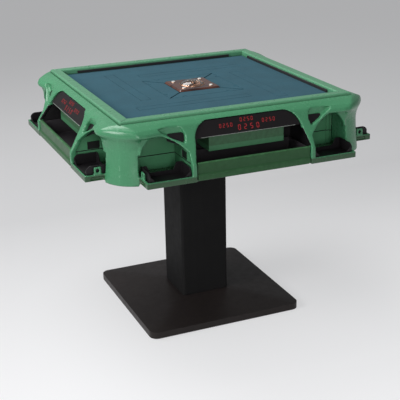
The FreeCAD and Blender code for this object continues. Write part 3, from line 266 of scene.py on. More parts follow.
def cloth_effect():
    """Short-napped cloth: crossed threads, nap clouds and a fuzzy height."""
    wire, given = effect("napped_cloth", Colour=WHITE, Threads=700.0)
    threads = []
    for direction in ("X", "Y"):
        inputs = {"Vector": wire.place(), "Scale": given["Threads"], "Distortion": 1.2}
        threads.append(wire.put("TexWave", inputs, bands_direction=direction).outputs["Fac"])
    weave = wire.most(*threads)
    nap = wire.clouds(wire.place(), 14.0, 6.0, 0.65)
    fuzz = wire.clouds(wire.place(), 420.0, 3.0, 0.6)
    tone = wire.plus(wire.remap(nap, 0.3, 0.7, -0.09, 0.09), wire.remap(fuzz, 0.3, 0.7, -0.1, 0.1))
    bright = wire.plus(tone, wire.remap(weave, 0.0, 1.0, 0.93, 1.04))
    height = wire.plus(wire.times(weave, 0.5), fuzz)
    return wire.give(Colour=wire.shaded(given["Colour"], bright), Height=height)


def wood_effect():
    """Straight wood figure with pores."""
    wire, given = effect("wood_figure", Dark=WHITE, Light=WHITE, Scale=1.0)
    inputs = {"Vector": wire.stretched((9, 130, 130)), "Scale": given["Scale"]}
    along = wire.put("VectorMath", inputs, operation="SCALE").outputs["Vector"]
    bend = wire.clouds(along, 1.0, 5.0, 0.6)
    inputs = {"Vector": along, "Scale": 0.35, "Distortion": 7.0, "Detail": 3.0}
    rings = wire.put("TexWave", inputs).outputs["Fac"]
    lightness = wire.remap(wire.blend(rings, 0.6, bend, 0.4), 0.2, 0.8, 0.0, 1.0)
    pores = wire.clouds(wire.stretched((60, 1400, 1400)), 1.0, 2.0)
    return wire.give(
        Colour=wire.mixed(lightness, given["Dark"], given["Light"]),
        Roughness=wire.remap(pores, 0.3, 0.7, 0.14, 0.24),
        Height=pores,
    )


def drawn_effect():
    """Metal with fine draw marks along Z."""
    wire, given = effect("drawn_metal", Colour=WHITE, Gloss=0.3)
    marks = wire.clouds(wire.stretched((600, 600, 12)), 1.0, 4.0)
    return wire.give(
        Colour=wire.shaded(given["Colour"], wire.remap(marks, 0.3, 0.7, 0.85, 1.1)),
        Roughness=wire.plus(given["Gloss"], wire.remap(marks, 0.3, 0.7, -0.06, 0.1)),
        Height=marks,
    )


EFFECTS = {
    "moulded": moulded_effect,
    "edges": edge_effect,
    "grime": grime_and_shade_effect,
    "cloth": cloth_effect,
    "wood": wood_effect,
    "drawn": drawn_effect,
}


def shared(name):
    """The named effect's node group, built once."""
    key = f"table_{name}"
    if key not in bpy.data.node_groups:
        EFFECTS[name]().name = key
    return bpy.data.node_groups[key]


# Finishes

class Finish(Wiring):
    """A material with one Principled shader."""

    def __init__(self, name, **plain):
        self.material = bpy.data.materials.new(name)
        self.material.use_nodes = True
        super().__init__(self.material.node_tree)
        self.shader = self.tree.nodes["Principled BSDF"]
        self.join(**plain)

    def join(self, **sources):
        """Feeds sockets of the shader, named with underscores for their spaces."""
        for socket, source in sources.items():
            self.feed(self.shader.inputs[socket.replace("_", " ")], source)

    def use(self, name, **inputs):
        return self.put("Group", inputs, node_tree=shared(name)).outputs

    def side_place(self):
        """Where a point is on its side of the table: from the side's middle, out from the centre, and up."""
        where = self.put("SeparateXYZ", {"Vector": self.place()}).outputs
        across, forward = (self.combine("ABSOLUTE", where[axis], 0.0) for axis in "XY")
        return self.combine("MINIMUM", across, forward), self.most(across, forward), where["Z"]

    def bump(self, height, strength, depth):
        normal = self.put("Bump", {"Height": height, "Strength": strength, "Distance": depth})
        self.join(Normal=normal.outputs["Normal"])

    def surface(self, body, base, relief, depth=0.4 * MM):
        """Joins a colour and an effect's gloss and relief to the shader, and gives the material."""
        self.join(Base_Color=body, Roughness=base["Roughness"])
        self.bump(base["Height"], relief, depth)
        return self.material

    def wear(self, source, edge, edge_amount, grime, grime_and_shade_amount, reach=0.018):
        # Paler worn edges, then settled dirt and painted shade in the corners
        worn = self.use("edges", Colour=source, Edge=edge, Amount=edge_amount)["Colour"]
        return self.use("grime", Colour=worn, Grime=grime, Amount=grime_and_shade_amount, Reach=reach)["Colour"]


def rgba(settings, share=1.0):
    return tuple(min(channel * share, 1.0) for channel in settings) + (1.0,)


# Where the mouldings change colour and where painted shade lies on them: places from a side's middle, reaches
# from the centre, and heights
SHELF_END = 0.318
SHELF_FRONT = (0.574, 0.569)
PILLAR_SIDE, PILLAR_LEAN = 0.1733, 11 * MM
LEAN_START, LEAN_END = 0.61, 0.653
HOUSING_FACE = 0.3065
WALL_ROOM = 0.16
SHADE_HEIGHT = 0.663
HOOD_END = 0.12
HOOD_STEP = (0.631, 0.633)
JOINT_HALF = 1.3 * MM
# How far the hoods are darkened with painted shade below their step and above it
HOOD_SHARES = (0.45, 0.95)
# Fineness of the cloth's weave
THREADS = 420.0


# Material, colour, gloss, mottle, grain and relief of each plastic, rubber or paint, and where they aren't
# the usual ones, the brightness and the amount of its worn edges, the amount of its corner dirt and painted
# shade, and its specular level
PLASTICS = {
    "drawer": ("drawer_plastic", "drawer_green", 0.32, 0.08, 900, 0.03, 2.6, 0.6, 0.5, 0.2),
    "rim": ("rim_plastic", "rim_green", 0.28, 0.05, 900, 0.025, 1.6, 0.5),
    "tray": ("tray_plastic", "tray_black", 0.45, 0.15, 1300, 0.12, 2.0, 0.4, 0.3, 0.25),
    "drawer_tray": ("drawer_tray_plastic", "drawer_black", 0.45, 0.15, 1300, 0.1, 1.6, 0.4, 0.1),
    "rubber": ("black_rubber", "tray_black", 0.7, 0.15, 600, 0.2, 2.0, 0.3, 0.2),
    "window": ("display_window", "window_black", 0.4, 0.1, 400, 0.01, 1.6, 0.3, 0.2, 0.22),
    "trim": ("display_trim", "trim_pale", 0.25, 0.1, 900, 0.03),
    "dice": ("dice_plastic", (0.5, 0.38, 0.3), 0.35, 0.04, 900, 0.02),
    "pips": ("pip_paint", (0.05, 0.01, 0.01), 0.35, 0.1, 900, 0.04),
    "button": ("button_plastic", (0.78, 0.78, 0.75), 0.16, 0.05, 900, 0.02),
    "base": ("base_enamel", "base_brown", 0.42, 0.25, 500, 0.1, 2.2, 0.5, 0.3, 0.2),
    "column": ("column_coating", "column_black", 0.62, 0.15, 1500, 0.14, 1.8, 0.4, 0.3, 0.06),
    "grey": ("grey_plastic", (0.25, 0.25, 0.25), 0.4, 0.08, 900, 0.04),
    "paint": ("grey_paint", (0.13, 0.13, 0.14), 0.4, 0.08, 900, 0.04),
}


def plastic(
    name, tint, gloss, mottle, grain, relief, edge_share=1.5, edge=0.35, grime=0.5, specular=0.5
):
    """A finish of one colour, with paler edges, and settled dirt and painted shade in its corners."""
    finish = Finish(name, Specular_IOR_Level=specular)
    base = finish.use("moulded", Colour=rgba(tint), Mottle=mottle, Gloss=gloss, Grain=grain)
    body = finish.wear(base["Colour"], rgba(tint, edge_share), edge, rgba(tint, 0.3), grime)
    return finish.surface(body, base, relief)


def frame_finish(tints):
    """Green frame plastic with painted shade: darker on the shelves' fronts, and black on the pillars' sides
    in the portals, where it is partly a black lining.
    """
    finish = Finish("frame_plastic")
    along, _, height = finish.side_place()
    # Painted shade and black lining on the pillars' sides in the portals, above the drawers
    side = finish.remap(height, LEAN_START, LEAN_END, PILLAR_SIDE, PILLAR_SIDE - PILLAR_LEAN)
    above_drawer = finish.over(height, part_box("drawer_front_front")[1].z)
    level = finish.times(above_drawer, finish.under(height, LEAN_END))
    lining_and_shade = finish.times(finish.under(along, side), level)
    # Painted shade: the shelves' fronts take the darker green
    front = finish.remap(height, *SHELF_FRONT, 0.0, 1.0)
    shelf = finish.times(front, finish.under(along, SHELF_END))
    tint = finish.mixed(shelf, rgba(tints.frame_green), rgba(tints.drawer_green))
    tint = finish.mixed(lining_and_shade, tint, rgba(tints.shade_black))
    base = finish.use("moulded", Colour=tint, Mottle=0.05, Gloss=0.25, Grain=900.0)
    edge, grime = rgba(tints.frame_green, 1.5), rgba(tints.frame_green, 0.3)
    return finish.surface(finish.wear(base["Colour"], edge, 0.15, grime, 0.15), base, 0.025)


def housing_finish(tints):
    """Green housing with a dark parting joint and painted shade: its walls are black round the portals'
    hollows, where they are partly a black lining, and near their tops, and the hoods are darker.
    """
    finish = Finish("housing_plastic")
    along, reach, height = finish.side_place()
    # Painted shade and black lining round the portals' hollows
    inside = finish.under(along, WALL_PLACE + WALL_THICKNESS / 4)
    beside = finish.over(along, WALL_ROOM)
    behind = finish.most(finish.under(reach, HOUSING_FACE), beside)
    parting = finish.combine("ABSOLUTE", finish.combine("SUBTRACT", height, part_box("lower_tub")[1].z), 0.0)
    joint = finish.under(parting, JOINT_HALF)
    dark = finish.most(finish.times(inside, behind), joint)
    # Painted shade: black near the tops of the walls, under the frames' band
    dark = finish.most(dark, finish.over(height, SHADE_HEIGHT))
    # Painted shade: the hoods take the darker green, most above their step
    share = finish.remap(height, *HOOD_STEP, *HOOD_SHARES)
    hood = finish.times(finish.under(along, HOOD_END), share)
    body = finish.mixed(hood, rgba(tints.housing_green), rgba(tints.drawer_green))
    tint = finish.mixed(dark, body, rgba(tints.shade_black))
    base = finish.use("moulded", Colour=tint, Mottle=0.08, Gloss=0.42, Grain=700.0)
    edge = finish.mixed(dark, rgba(tints.housing_green, 1.4), rgba(tints.shade_black))
    body = finish.wear(base["Colour"], edge, 0.3, rgba(tints.shade_black), 0.3, 0.02)
    return finish.surface(body, base, 0.05)


def cloth_finish(tints):
    finish = Finish(
        "field_cloth", Roughness=0.92, Specular_IOR_Level=0.12, Sheen_Weight=0.06, Sheen_Roughness=0.5
    )
    weave = finish.use("cloth", Colour=rgba(tints.cloth_teal), Threads=THREADS)
    finish.join(Base_Color=weave["Colour"])
    finish.bump(weave["Height"], 0.35, 0.3 * MM)
    return finish.material


def wood_finish(name, dark, light, scale, coat):
    finish = Finish(name, Coat_Weight=coat, Coat_Roughness=0.06)
    figure = finish.use("wood", Dark=rgba(dark), Light=rgba(light), Scale=scale)
    return finish.surface(figure["Colour"], figure, 0.06, 0.2 * MM)


def board_finish(tints):
    """Dark ply, with hinge lugs of the cloth's colour where they stand level with the cloth."""
    finish = Finish("board_ply", Specular_IOR_Level=0.2)
    figure = finish.use("wood", Dark=rgba(tints.tray_black, 0.5), Light=rgba(tints.tray_black), Scale=0.6)
    height = finish.put("SeparateXYZ", {"Vector": finish.place()}).outputs["Z"]
    covered = finish.over(height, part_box("playing_mat")[0].z + 0.2 * MM)
    weave = finish.use("cloth", Colour=rgba(tints.cloth_teal), Threads=THREADS)
    finish.join(
        Base_Color=finish.mixed(covered, figure["Colour"], weave["Colour"]),
        Roughness=finish.plus(figure["Roughness"], 0.5),
    )
    finish.bump(weave["Height"], 0.3, 0.2 * MM)
    return finish.material


def metal_finish(name, tint, gloss):
    finish = Finish(name, Metallic=1.0)
    drawn = finish.use("drawn", Colour=rgba(tint), Gloss=gloss)
    return finish.surface(drawn["Colour"], drawn, 0.05, 0.1 * MM)


def digit_finish(tints):
    """Lit segments, a little uneven along each bar."""
    finish = Finish("lit_digits", Roughness=0.4, Emission_Strength=0.6)
    glow = finish.remap(finish.clouds(finish.place(), 300.0, 2.0), 0.3, 0.7, 0.75, 1.1)
    lit = finish.shaded(rgba(tints.digit_red), glow)
    finish.join(Base_Color=rgba(tints.digit_red, 0.3), Emission_Color=lit)
    return finish.material


def dome_finish():
    finish = Finish("clear_dome", Transmission_Weight=1.0, IOR=1.49)
    smear = finish.clouds(finish.place(), 60.0, 5.0)
    finish.join(Roughness=finish.remap(smear, 0.4, 0.7, 0.015, 0.06))
    return finish.material


FINISHES = {}


def finishes(context):
    """Every finish of the table by name, built once."""
    if not FINISHES:
        tints = context.scene.table_colours
        for key, (name, tint, *amounts) in PLASTICS.items():
            FINISHES[key] = plastic(name, getattr(tints, tint) if isinstance(tint, str) else tint, *amounts)
        FINISHES.update(
            frame=frame_finish(tints),
            housing=housing_finish(tints),
            digits=digit_finish(tints),
            cloth=cloth_finish(tints),
            board=board_finish(tints),
            rosewood=wood_finish("polished_rosewood", tints.rosewood_dark, tints.rosewood_light, 1.0, 0.3),
            copper=metal_finish("copper_ring", tints.copper, 0.18),
            steel=metal_finish("plated_steel", (0.55, 0.55, 0.56), 0.28),
            alloy=metal_finish("turned_alloy", (0.68, 0.68, 0.7), 0.3),
            dome=dome_finish(),
        )
    return FINISHES


# Making and placing pieces

def dress(name, material, *rounding):
    """Gives a node of the model its finish, and rounds its edges if their width is given."""
    slots = NODES[name].data.materials
    slots.clear()
    slots.append(material)
    if rounding:
        soften(NODES[name], *rounding)


def soften(item, width, segments=3, angle=35):
    """Rounds a piece's sharp edges with modifiers."""
    weld = item.modifiers.new("Joined", "WELD")
    weld.merge_threshold = JOIN
    flat = item.modifiers.new("Flat", "DECIMATE")
    flat.decimate_type = "DISSOLVE"
    flat.angle_limit = math.radians(0.6)
    round_edge(item, width, segments, angle)


def round_edge(item, width, segments=3, angle=35):
    edge = item.modifiers.new("Edges", "BEVEL")
    edge.width = width
    edge.segments = segments
    edge.limit_method = "ANGLE"
    edge.angle_limit = math.radians(angle)
    shade = item.modifiers.new("Shading", "WEIGHTED_NORMAL")
    shade.keep_sharp = True


def turn_to(side):
    return Matrix.Rotation(math.radians(90 * SIDES.index(side)), 4, "Z")


def placed(name, data):
    """A new object in the scene."""
    item = bpy.data.objects.new(name, data)
    bpy.context.scene.collection.objects.link(item)
    return item


def new_piece(name, mesh, material, body):
    """Puts a finished mesh in the scene and lets it ride on a body."""
    mesh.materials.clear()
    mesh.materials.append(material)
    piece = placed(name, mesh)
    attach(piece, body)
    return piece


def on_each_side(name, mesh, material):
    """A fixed piece on each side of the table, from the front side's mesh."""
    pieces = {}
    for side in SIDES:
        copy = mesh.copy()
        copy.transform(turn_to(side))
        pieces[side] = new_piece(f"{name}_{side}", copy, material, "table")
    return pieces


def as_mesh(name, build, smooth=False):
    """A mesh that a function fills."""
    shape = bmesh.new()
    build(shape)
    bmesh.ops.recalc_face_normals(shape, faces=shape.faces)
    mesh = bpy.data.meshes.new(name)
    shape.to_mesh(mesh)
    shape.free()
    if smooth:
        mesh.shade_smooth()
    return mesh


def settled(work):
    """The mesh of an object with its modifiers applied; the object goes."""
    bpy.context.view_layer.update()
    made = work.evaluated_get(bpy.context.evaluated_depsgraph_get())
    mesh = bpy.data.meshes.new_from_object(made)
    bpy.data.objects.remove(work)
    return mesh


def cut_away(shape, place, normal):
    """Cuts a shape at a plane, drops what lies beyond it and gives the edges of the cut."""
    everything = shape.verts[:] + shape.edges[:] + shape.faces[:]
    made = bmesh.ops.bisect_plane(shape, geom=everything, plane_co=place, plane_no=normal, clear_outer=True)
    return [item for item in made["geom_cut"] if isinstance(item, bmesh.types.BMEdge)]


def smooth_share(low, high, number):
    share = min(max((number - low) / (high - low), 0.0), 1.0)
    return share * share * (3 - 2 * share)


def add_sleeve(shape, first, second):
    """Faces from each point of a ring to the next, up to another ring."""
    for index, start in enumerate(first):
        after = (index + 1) % len(first)
        shape.faces.new((start, first[after], second[after], second[index]))


def add_slab(shape, outline, place, depth):
    """A flat plate: an outline in a plane, thickened along the plane's normal."""
    rings = []
    for level in (0.0, depth):
        rings.append([shape.verts.new(place @ Vector((x, y, level))) for x, y in outline])
        shape.faces.new(rings[-1])
    add_sleeve(shape, *rings)


def add_ring(shape, profile, centre, steps=64):
    """A turned ring: a closed profile of radius and height, turned about Z."""
    rings = []
    for step in range(steps):
        angle = 2 * math.pi * step / steps
        spoke = Vector((math.cos(angle), math.sin(angle), 0))
        places = [centre + spoke * radius + Z * height for radius, height in profile]
        rings.append([shape.verts.new(place) for place in places])
    for step, ring in enumerate(rings):
        add_sleeve(shape, ring, rings[(step + 1) % steps])


# Pieces

class Step:
    """An operator's share of the looks, built from the forms' settings and the finishes."""

    def execute(self, context):
        self.build(context.scene.table_forms, finishes(context))
        return {"FINISHED"}


class TABLE_OT_frames(Step, bpy.types.Operator):
    """Moulds the four side frames with soft edges and corners that run on into each other"""

    bl_idname = "table.frames"
    bl_label = "Side Frames"

    # What is kept beyond the side's middle and the mitre while a corner is softened
    SPARE = (40 * MM, 60 * MM)
    # How soft the thin shelves are, and the heights and places between which softness grows or fades
    SHELF_SOFTNESS = 0.3
    SHELF_RISE = (0.585, 0.605)
    POST_START = (SHELF_END, 0.324)
    POST_RISE = (0.585, 0.62)
    POST_OUT = (0.702, 0.718)
    SHOULDER_OUT = (0.735, 0.765)
    RIM_FALL = (0.7, 0.69)
    # How squarely a face that closes the mitre faces it
    SQUARE_ON = 0.9999

    def build(self, forms, made):
        work = placed("frame_voxels", as_mesh("frame_corner", self.corner))
        voxels = work.modifiers.new("Voxels", "REMESH")
        voxels.mode = "VOXEL"
        voxels.voxel_size = forms.frame_voxel
        work = placed("frame_softening", settled(work))
        for label, weight, rounds in (
            ("edges", self.edge_softness, forms.frame_rounds),
            ("corner", self.corner_softness, forms.corner_rounds),
        ):
            group = work.vertex_groups.new(name=label)
            for vertex in work.data.vertices:
                group.add([vertex.index], weight(vertex.co), "REPLACE")
            rounding = work.modifiers.new(label, "SMOOTH")
            rounding.factor = 0.5
            rounding.iterations = rounds
            rounding.vertex_group = label
        mesh = self.whole(settled(work))
        pieces = on_each_side("moulded_frame", mesh, made["frame"])
        for side, piece in pieces.items():
            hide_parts(f"side_frame_{side}")

    def corner(self, shape):
        """Half the front frame and the near end of its neighbour, open to each other at the mitre."""
        for side in ("front", "right"):
            shape.from_mesh(NODES[f"side_frame_{side}"].data)
        bmesh.ops.remove_doubles(shape, verts=shape.verts, dist=JOIN)
        for normal, reach in zip((-X, MITRE), self.SPARE):
            bmesh.ops.triangle_fill(shape, use_beauty=True, edges=cut_away(shape, normal * reach, normal))
        inner = [face for face in shape.faces if all(abs(vert.co.dot(MITRE)) < JOIN for vert in face.verts)]
        bmesh.ops.delete(shape, geom=inner, context="FACES")

    def edge_softness(self, place):
        """Full on the open moulding and the posts, little on the thin shelves."""
        along = min(abs(place.x), abs(place.y))
        above = self.SHELF_SOFTNESS + (1 - self.SHELF_SOFTNESS) * smooth_share(*self.SHELF_RISE, place.z)
        return max(above, smooth_share(*self.POST_START, along))

    def corner_softness(self, place):
        """Full where the shoulder rolls over into the post, none along the sides or by the rim's corner."""
        out = abs(place.x) + abs(place.y)
        post = smooth_share(*self.POST_OUT, out) * smooth_share(*self.RIM_FALL, place.z)
        return smooth_share(*self.POST_RISE, place.z) * max(smooth_share(*self.SHOULDER_OUT, out), post)

    def whole(self, mesh):
        """The softened corner cut at the mitre and the side's middle, and mirrored to a whole frame."""
        shape = bmesh.new()
        shape.from_mesh(mesh)
        origin = Vector()
        for vert in {vert for edge in cut_away(shape, origin, -X) for vert in edge.verts}:
            vert.co.x = 0
        cut_away(shape, origin, MITRE)
        everything = shape.verts[:] + shape.edges[:] + shape.faces[:]
        bmesh.ops.mirror(shape, geom=everything, axis="X", merge_dist=JOIN)
        bmesh.ops.recalc_face_normals(shape, faces=shape.faces)
        shape.verts.index_update()
        ways = [vert.normal.copy() for vert in shape.verts]
        planes = (MITRE, Vector((-MITRE.x, MITRE.y, 0)))
        for plane in planes:
            ends = [vert for vert in shape.verts if abs(vert.co.dot(plane)) < JOIN]
            for vert in ends:
                way = ways[vert.index]
                ways[vert.index] = (way - plane * way.dot(plane)).normalized()
            rim = {edge for vert in ends for edge in vert.link_edges if edge.is_boundary}
            bmesh.ops.triangle_fill(shape, use_beauty=True, edges=list(rim), normal=plane)
        made = bpy.data.meshes.new("moulded_frame")
        shape.to_mesh(made)
        shape.free()
        made.shade_smooth()
        normals = []
        for face in made.polygons:
            capped = max(abs(face.normal.dot(plane)) for plane in planes) > self.SQUARE_ON
            normals += [face.normal.copy() if capped else ways[index] for index in face.vertices]
        made.normals_split_custom_set(normals)
        return made


class TABLE_OT_rim(Step, bpy.types.Operator):
    """Finishes the rim rails and the bumper strips"""

    bl_idname = "table.rim"
    bl_label = "Rim"

    def build(self, forms, made):
        for side in SIDES:
            dress(f"rim_rail_{side}", made["rim"], forms.rail_edge)
        dress("rim_bumpers", made["rubber"], 1.0 * MM)


class TABLE_OT_field(Step, bpy.types.Operator):
    """Lays the cloth on the field, the lifts and the flaps"""

    bl_idname = "table.field"
    bl_label = "Playing Field"

    # Size of the cloth's squares, and how far the solid is felt for from just above it
    SQUARE = 16 * MM
    PROBE = 2 * MM

    def build(self, forms, made):
        dress("play_board", made["board"])
        low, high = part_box("playing_mat")
        mesh = as_mesh("field_cloth", self.squares)
        cloth = new_piece("field_cloth", mesh, made["cloth"], "table")
        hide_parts("playing_mat")
        thick = cloth.modifiers.new("Thickness", "SOLIDIFY")
        thick.thickness = high.z - low.z
        thick.offset = -1
        round_edge(cloth, forms.cloth_edge, 2)
        for side in SIDES:
            dress(f"tile_lift_{side}", made["cloth"], 0.4 * MM, 2)
            dress(f"centre_flap_{side}", made["cloth"], 0.4 * MM, 2)

    def squares(self, shape):
        """The cloth's upper face in small squares, with its openings for the lifts and the console."""
        node = NODES["playing_mat"].data
        spots, faces = [vert.co for vert in node.vertices], [face.vertices for face in node.polygons]
        solid = BVHTree.FromPolygons(spots, faces)
        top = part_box("playing_mat")[1].z
        lines = []
        for axis in range(2):
            stops = sorted({round(vert.co[axis], 5) for vert in node.vertices})
            line = []
            for start, end in zip(stops, stops[1:]):
                steps = math.ceil((end - start) / self.SQUARE)
                line += [start + (end - start) * step / steps for step in range(steps)]
            lines.append(line + stops[-1:])
        across, along = lines
        points = [[None] * len(along) for _ in across]
        for i in range(len(across) - 1):
            for j in range(len(along) - 1):
                ends = Vector((across[i] + across[i + 1], along[j] + along[j + 1], 2 * top + self.PROBE))
                if solid.ray_cast(ends / 2, -Z, self.PROBE)[0] is None:
                    continue
                corners = ((i, j), (i + 1, j), (i + 1, j + 1), (i, j + 1))
                for x, y in corners:
                    points[x][y] = points[x][y] or shape.verts.new((across[x], along[y], top))
                shape.faces.new([points[x][y] for x, y in corners])


class TABLE_OT_console(Step, bpy.types.Operator):
    """Finishes the console with its dome, dice and buttons"""

    bl_idname = "table.console"
    bl_label = "Console"

    # Spots of each face of a die that can show, and the face's two directions
    FACES = ((1, X, Y), (2, X, Z), (3, Y, Z), (4, -Y, Z), (5, -X, Z))
    # Steps out from the dome or a button, and rises, round the copper pieces in millimetres
    RING = ((0.4, 0), (3.4, 0), (3, 1.1), (1.4, 1.8), (0.5, 1.2))
    DISH = ((-2.5, 0), (-2.5, 0.6), (-4, 0.3))
    COLLAR = ((0.5, 0), (2, 0), (1.6, 0.7), (0.6, 0.8))
    DISH_BORE = 1 * MM
    # A spot's radius and the spots' spread, over the size of a die, and the places of each count's spots
    PIP_RADIUS, PIP_SPREAD = 0.1, 0.27
    PIP_SINK, PIP_DEPTH = 0.1 * MM, 0.15 * MM
    PIP_SHARES = {
        1: [(0, 0)],
        2: [(-1, -1), (1, 1)],
        3: [(-1, -1), (0, 0), (1, 1)],
        4: [(-1, -1), (1, 1), (-1, 1), (1, -1)],
        5: [(-1, -1), (1, 1), (-1, 1), (1, -1), (0, 0)],
    }

    def build(self, forms, made):
        dress("console_housing", made["rosewood"], 1.2 * MM)
        dress("dice_dome", made["dome"])
        dress("dice_pair", made["dice"], 1.0 * MM)
        for corner in CORNERS:
            dress(f"dice_button_{corner}", made["button"], 0.8 * MM)
        low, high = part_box("dice_dome")
        top, reach = low.z, high.x
        collars = []
        for corner in CORNERS:
            button_low, button_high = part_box(f"dice_button_{corner}")
            centre = (button_low + button_high) / 2
            collars.append((Vector((centre.x, centre.y, top)), button_high.x - centre.x))

        def rings(shape):
            middle = Z * top
            add_ring(shape, self.profile(reach, self.RING), middle, 96)
            dish = [(self.DISH_BORE, 0), *self.profile(reach, self.DISH), (self.DISH_BORE, 0.2 * MM)]
            add_ring(shape, dish, middle)
            for centre, radius in collars:
                add_ring(shape, self.profile(radius, self.COLLAR), centre, 40)

        mesh = as_mesh("console_rings", rings, True)
        new_piece("console_rings", mesh, made["copper"], "console")
        new_piece("dice_pips", as_mesh("dice_pips", self.pips), made["pips"], "console")

    @staticmethod
    def profile(radius, steps):
        return [(radius + out * MM, rise * MM) for out, rise in steps]

    def pips(self, shape):
        """Small painted spots on the dice, sunk in the faces but for their tops."""
        low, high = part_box("dice_pair")
        size = high.y - low.y
        radius, spread = size * self.PIP_RADIUS, size * self.PIP_SPREAD
        turns = [step * math.pi / 8 for step in range(16)]
        outline = [(radius * math.cos(turn), radius * math.sin(turn)) for turn in turns]
        for centre_x in (low.x + size / 2, high.x - size / 2):
            centre = Vector((centre_x, (low.y + high.y) / 2, (low.z + high.z) / 2))
            for count, across, up in self.FACES:
                out = across.cross(up)
                face = Matrix((across, up, out)).transposed().to_4x4()
                for x, y in self.PIP_SHARES[count]:
                    middle = centre + out * size * 0.5 + across * x * spread + up * y * spread
                    place = Matrix.Translation(middle - out * self.PIP_SINK) @ face
                    add_slab(shape, outline, place, self.PIP_DEPTH)


class TABLE_OT_displays(Step, bpy.types.Operator):
    """Finishes the score panels and lights their digits"""

    bl_idname = "table.displays"
    bl_label = "Score Displays"

    # Ends of each bar of a digit in a cell one wide and two high
    BARS = {
        "a": ((0, 2), (1, 2)), "b": ((1, 2), (1, 1)), "c": ((1, 1), (1, 0)), "d": ((0, 0), (1, 0)),
        "e": ((0, 1), (0, 0)), "f": ((0, 2), (0, 1)), "g": ((0, 1), (1, 1)),
    }
    LIT = {"0": "abcdef", "2": "abged", "5": "afgcd"}
    # Digits, place along the panel, share of the way up it, height and pitch
    ROWS = (
        ("0250", -64 * MM, 0.56, 10 * MM, 11 * MM),
        ("0250", 0.0, 0.79, 10 * MM, 11 * MM),
        ("0250", 65 * MM, 0.58, 10 * MM, 11 * MM),
        ("0250", 2 * MM, 0.34, 13.5 * MM, 18.5 * MM),
    )
    LEAN_SHARE = 0.12
    # A digit's width and half a bar's thickness, over half the digit's height
    CELL_WIDTH, BAR_HALF = 0.9, 0.13
    # The rise of the front face's normal, and that rise's weight in telling it from the other faces
    FACE_RISE, RISE_WEIGHT = 0.53, 0.01

    def build(self, forms, made):
        depth = forms.digit_depth
        low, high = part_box("score_panel_front")
        slope = self.face(low)
        run = (high.z - low.z) / slope.col[1].z
        digits = as_mesh("digits", lambda shape: self.digits(shape, slope, run, depth))
        trim = as_mesh("trim", lambda shape: self.trim(shape, slope, low))
        for side in SIDES:
            dress(f"score_panel_{side}", made["window"], 0.8 * MM)
        on_each_side("score_digits", digits, made["digits"])
        on_each_side("score_trim", trim, made["trim"])

    def face(self, low):
        """The panel's front face: along, up the slope, outward, from the middle of its lower edge."""
        ways = [face.normal for face in NODES["score_panel_front"].data.polygons]
        normal = min(ways, key=lambda way: way.y + self.RISE_WEIGHT * abs(way.z - self.FACE_RISE))
        up = normal.cross(X).normalized()
        place = Matrix((X, up, normal)).transposed().to_4x4()
        place.translation = Vector((0, low.y, low.z))
        return place

    def digits(self, shape, slope, run, depth):
        for text, middle, share, height, pitch in self.ROWS:
            cell = height / 2
            width = self.CELL_WIDTH * cell
            start = middle - pitch * (len(text) - 1) / 2 - width / 2
            for number, letter in enumerate(text):
                corner = Vector((start + number * pitch, share * run - cell))
                for bar in self.LIT[letter]:
                    ends = [self.leaned(corner, Vector((x * width, y * cell))) for x, y in self.BARS[bar]]
                    self.add_bar(shape, slope, ends, self.BAR_HALF * cell, depth)

    def leaned(self, corner, point):
        return corner + Vector((point.x + point.y * self.LEAN_SHARE, point.y))

    @staticmethod
    def add_bar(shape, slope, ends, half, depth):
        """A bar with pointed ends, just short of the bars that it meets."""
        start, end = ends
        along = (end - start).normalized()
        side = Vector((-along.y, along.x))
        start, end = start + along * half * 0.3, end - along * half * 0.3
        outline = [
            start, start + (along + side) * half, end + (side - along) * half,
            end, end - (along + side) * half, start + (along - side) * half,
        ]
        add_slab(shape, [(point.x, point.y) for point in outline], slope, depth)

    @staticmethod
    def trim(shape, slope, low):
        half, rise = -low.x - 16 * MM, 1.5 * MM
        add_slab(shape, [(-half, 0), (half, 0), (half, rise), (-half, rise)], slope, 0.5 * MM)


class TABLE_OT_drawers(Step, bpy.types.Operator):
    """Finishes the drawers' trays and fronts"""

    bl_idname = "table.drawers"
    bl_label = "Drawers"

    def build(self, forms, made):
        for side in SIDES:
            dress(f"drawer_front_{side}", made["drawer"], forms.front_edge)
            dress(f"drawer_tray_{side}", made["drawer_tray"], forms.tray_edge)


class TABLE_OT_trays(Step, bpy.types.Operator):
    """Finishes the corner trays"""

    bl_idname = "table.trays"
    bl_label = "Corner Trays"

    def build(self, forms, made):
        for side in SIDES:
            for end in ENDS:
                dress(f"corner_tray_{side}_{end}", made["tray"], forms.tray_edge)


class TABLE_OT_housings(Step, bpy.types.Operator):
    """Finishes the tub and the upper housing"""

    bl_idname = "table.housings"
    bl_label = "Housings"

    def build(self, forms, made):
        for name in ("lower_tub", "upper_housing"):
            dress(name, made["housing"], 1.2 * MM)


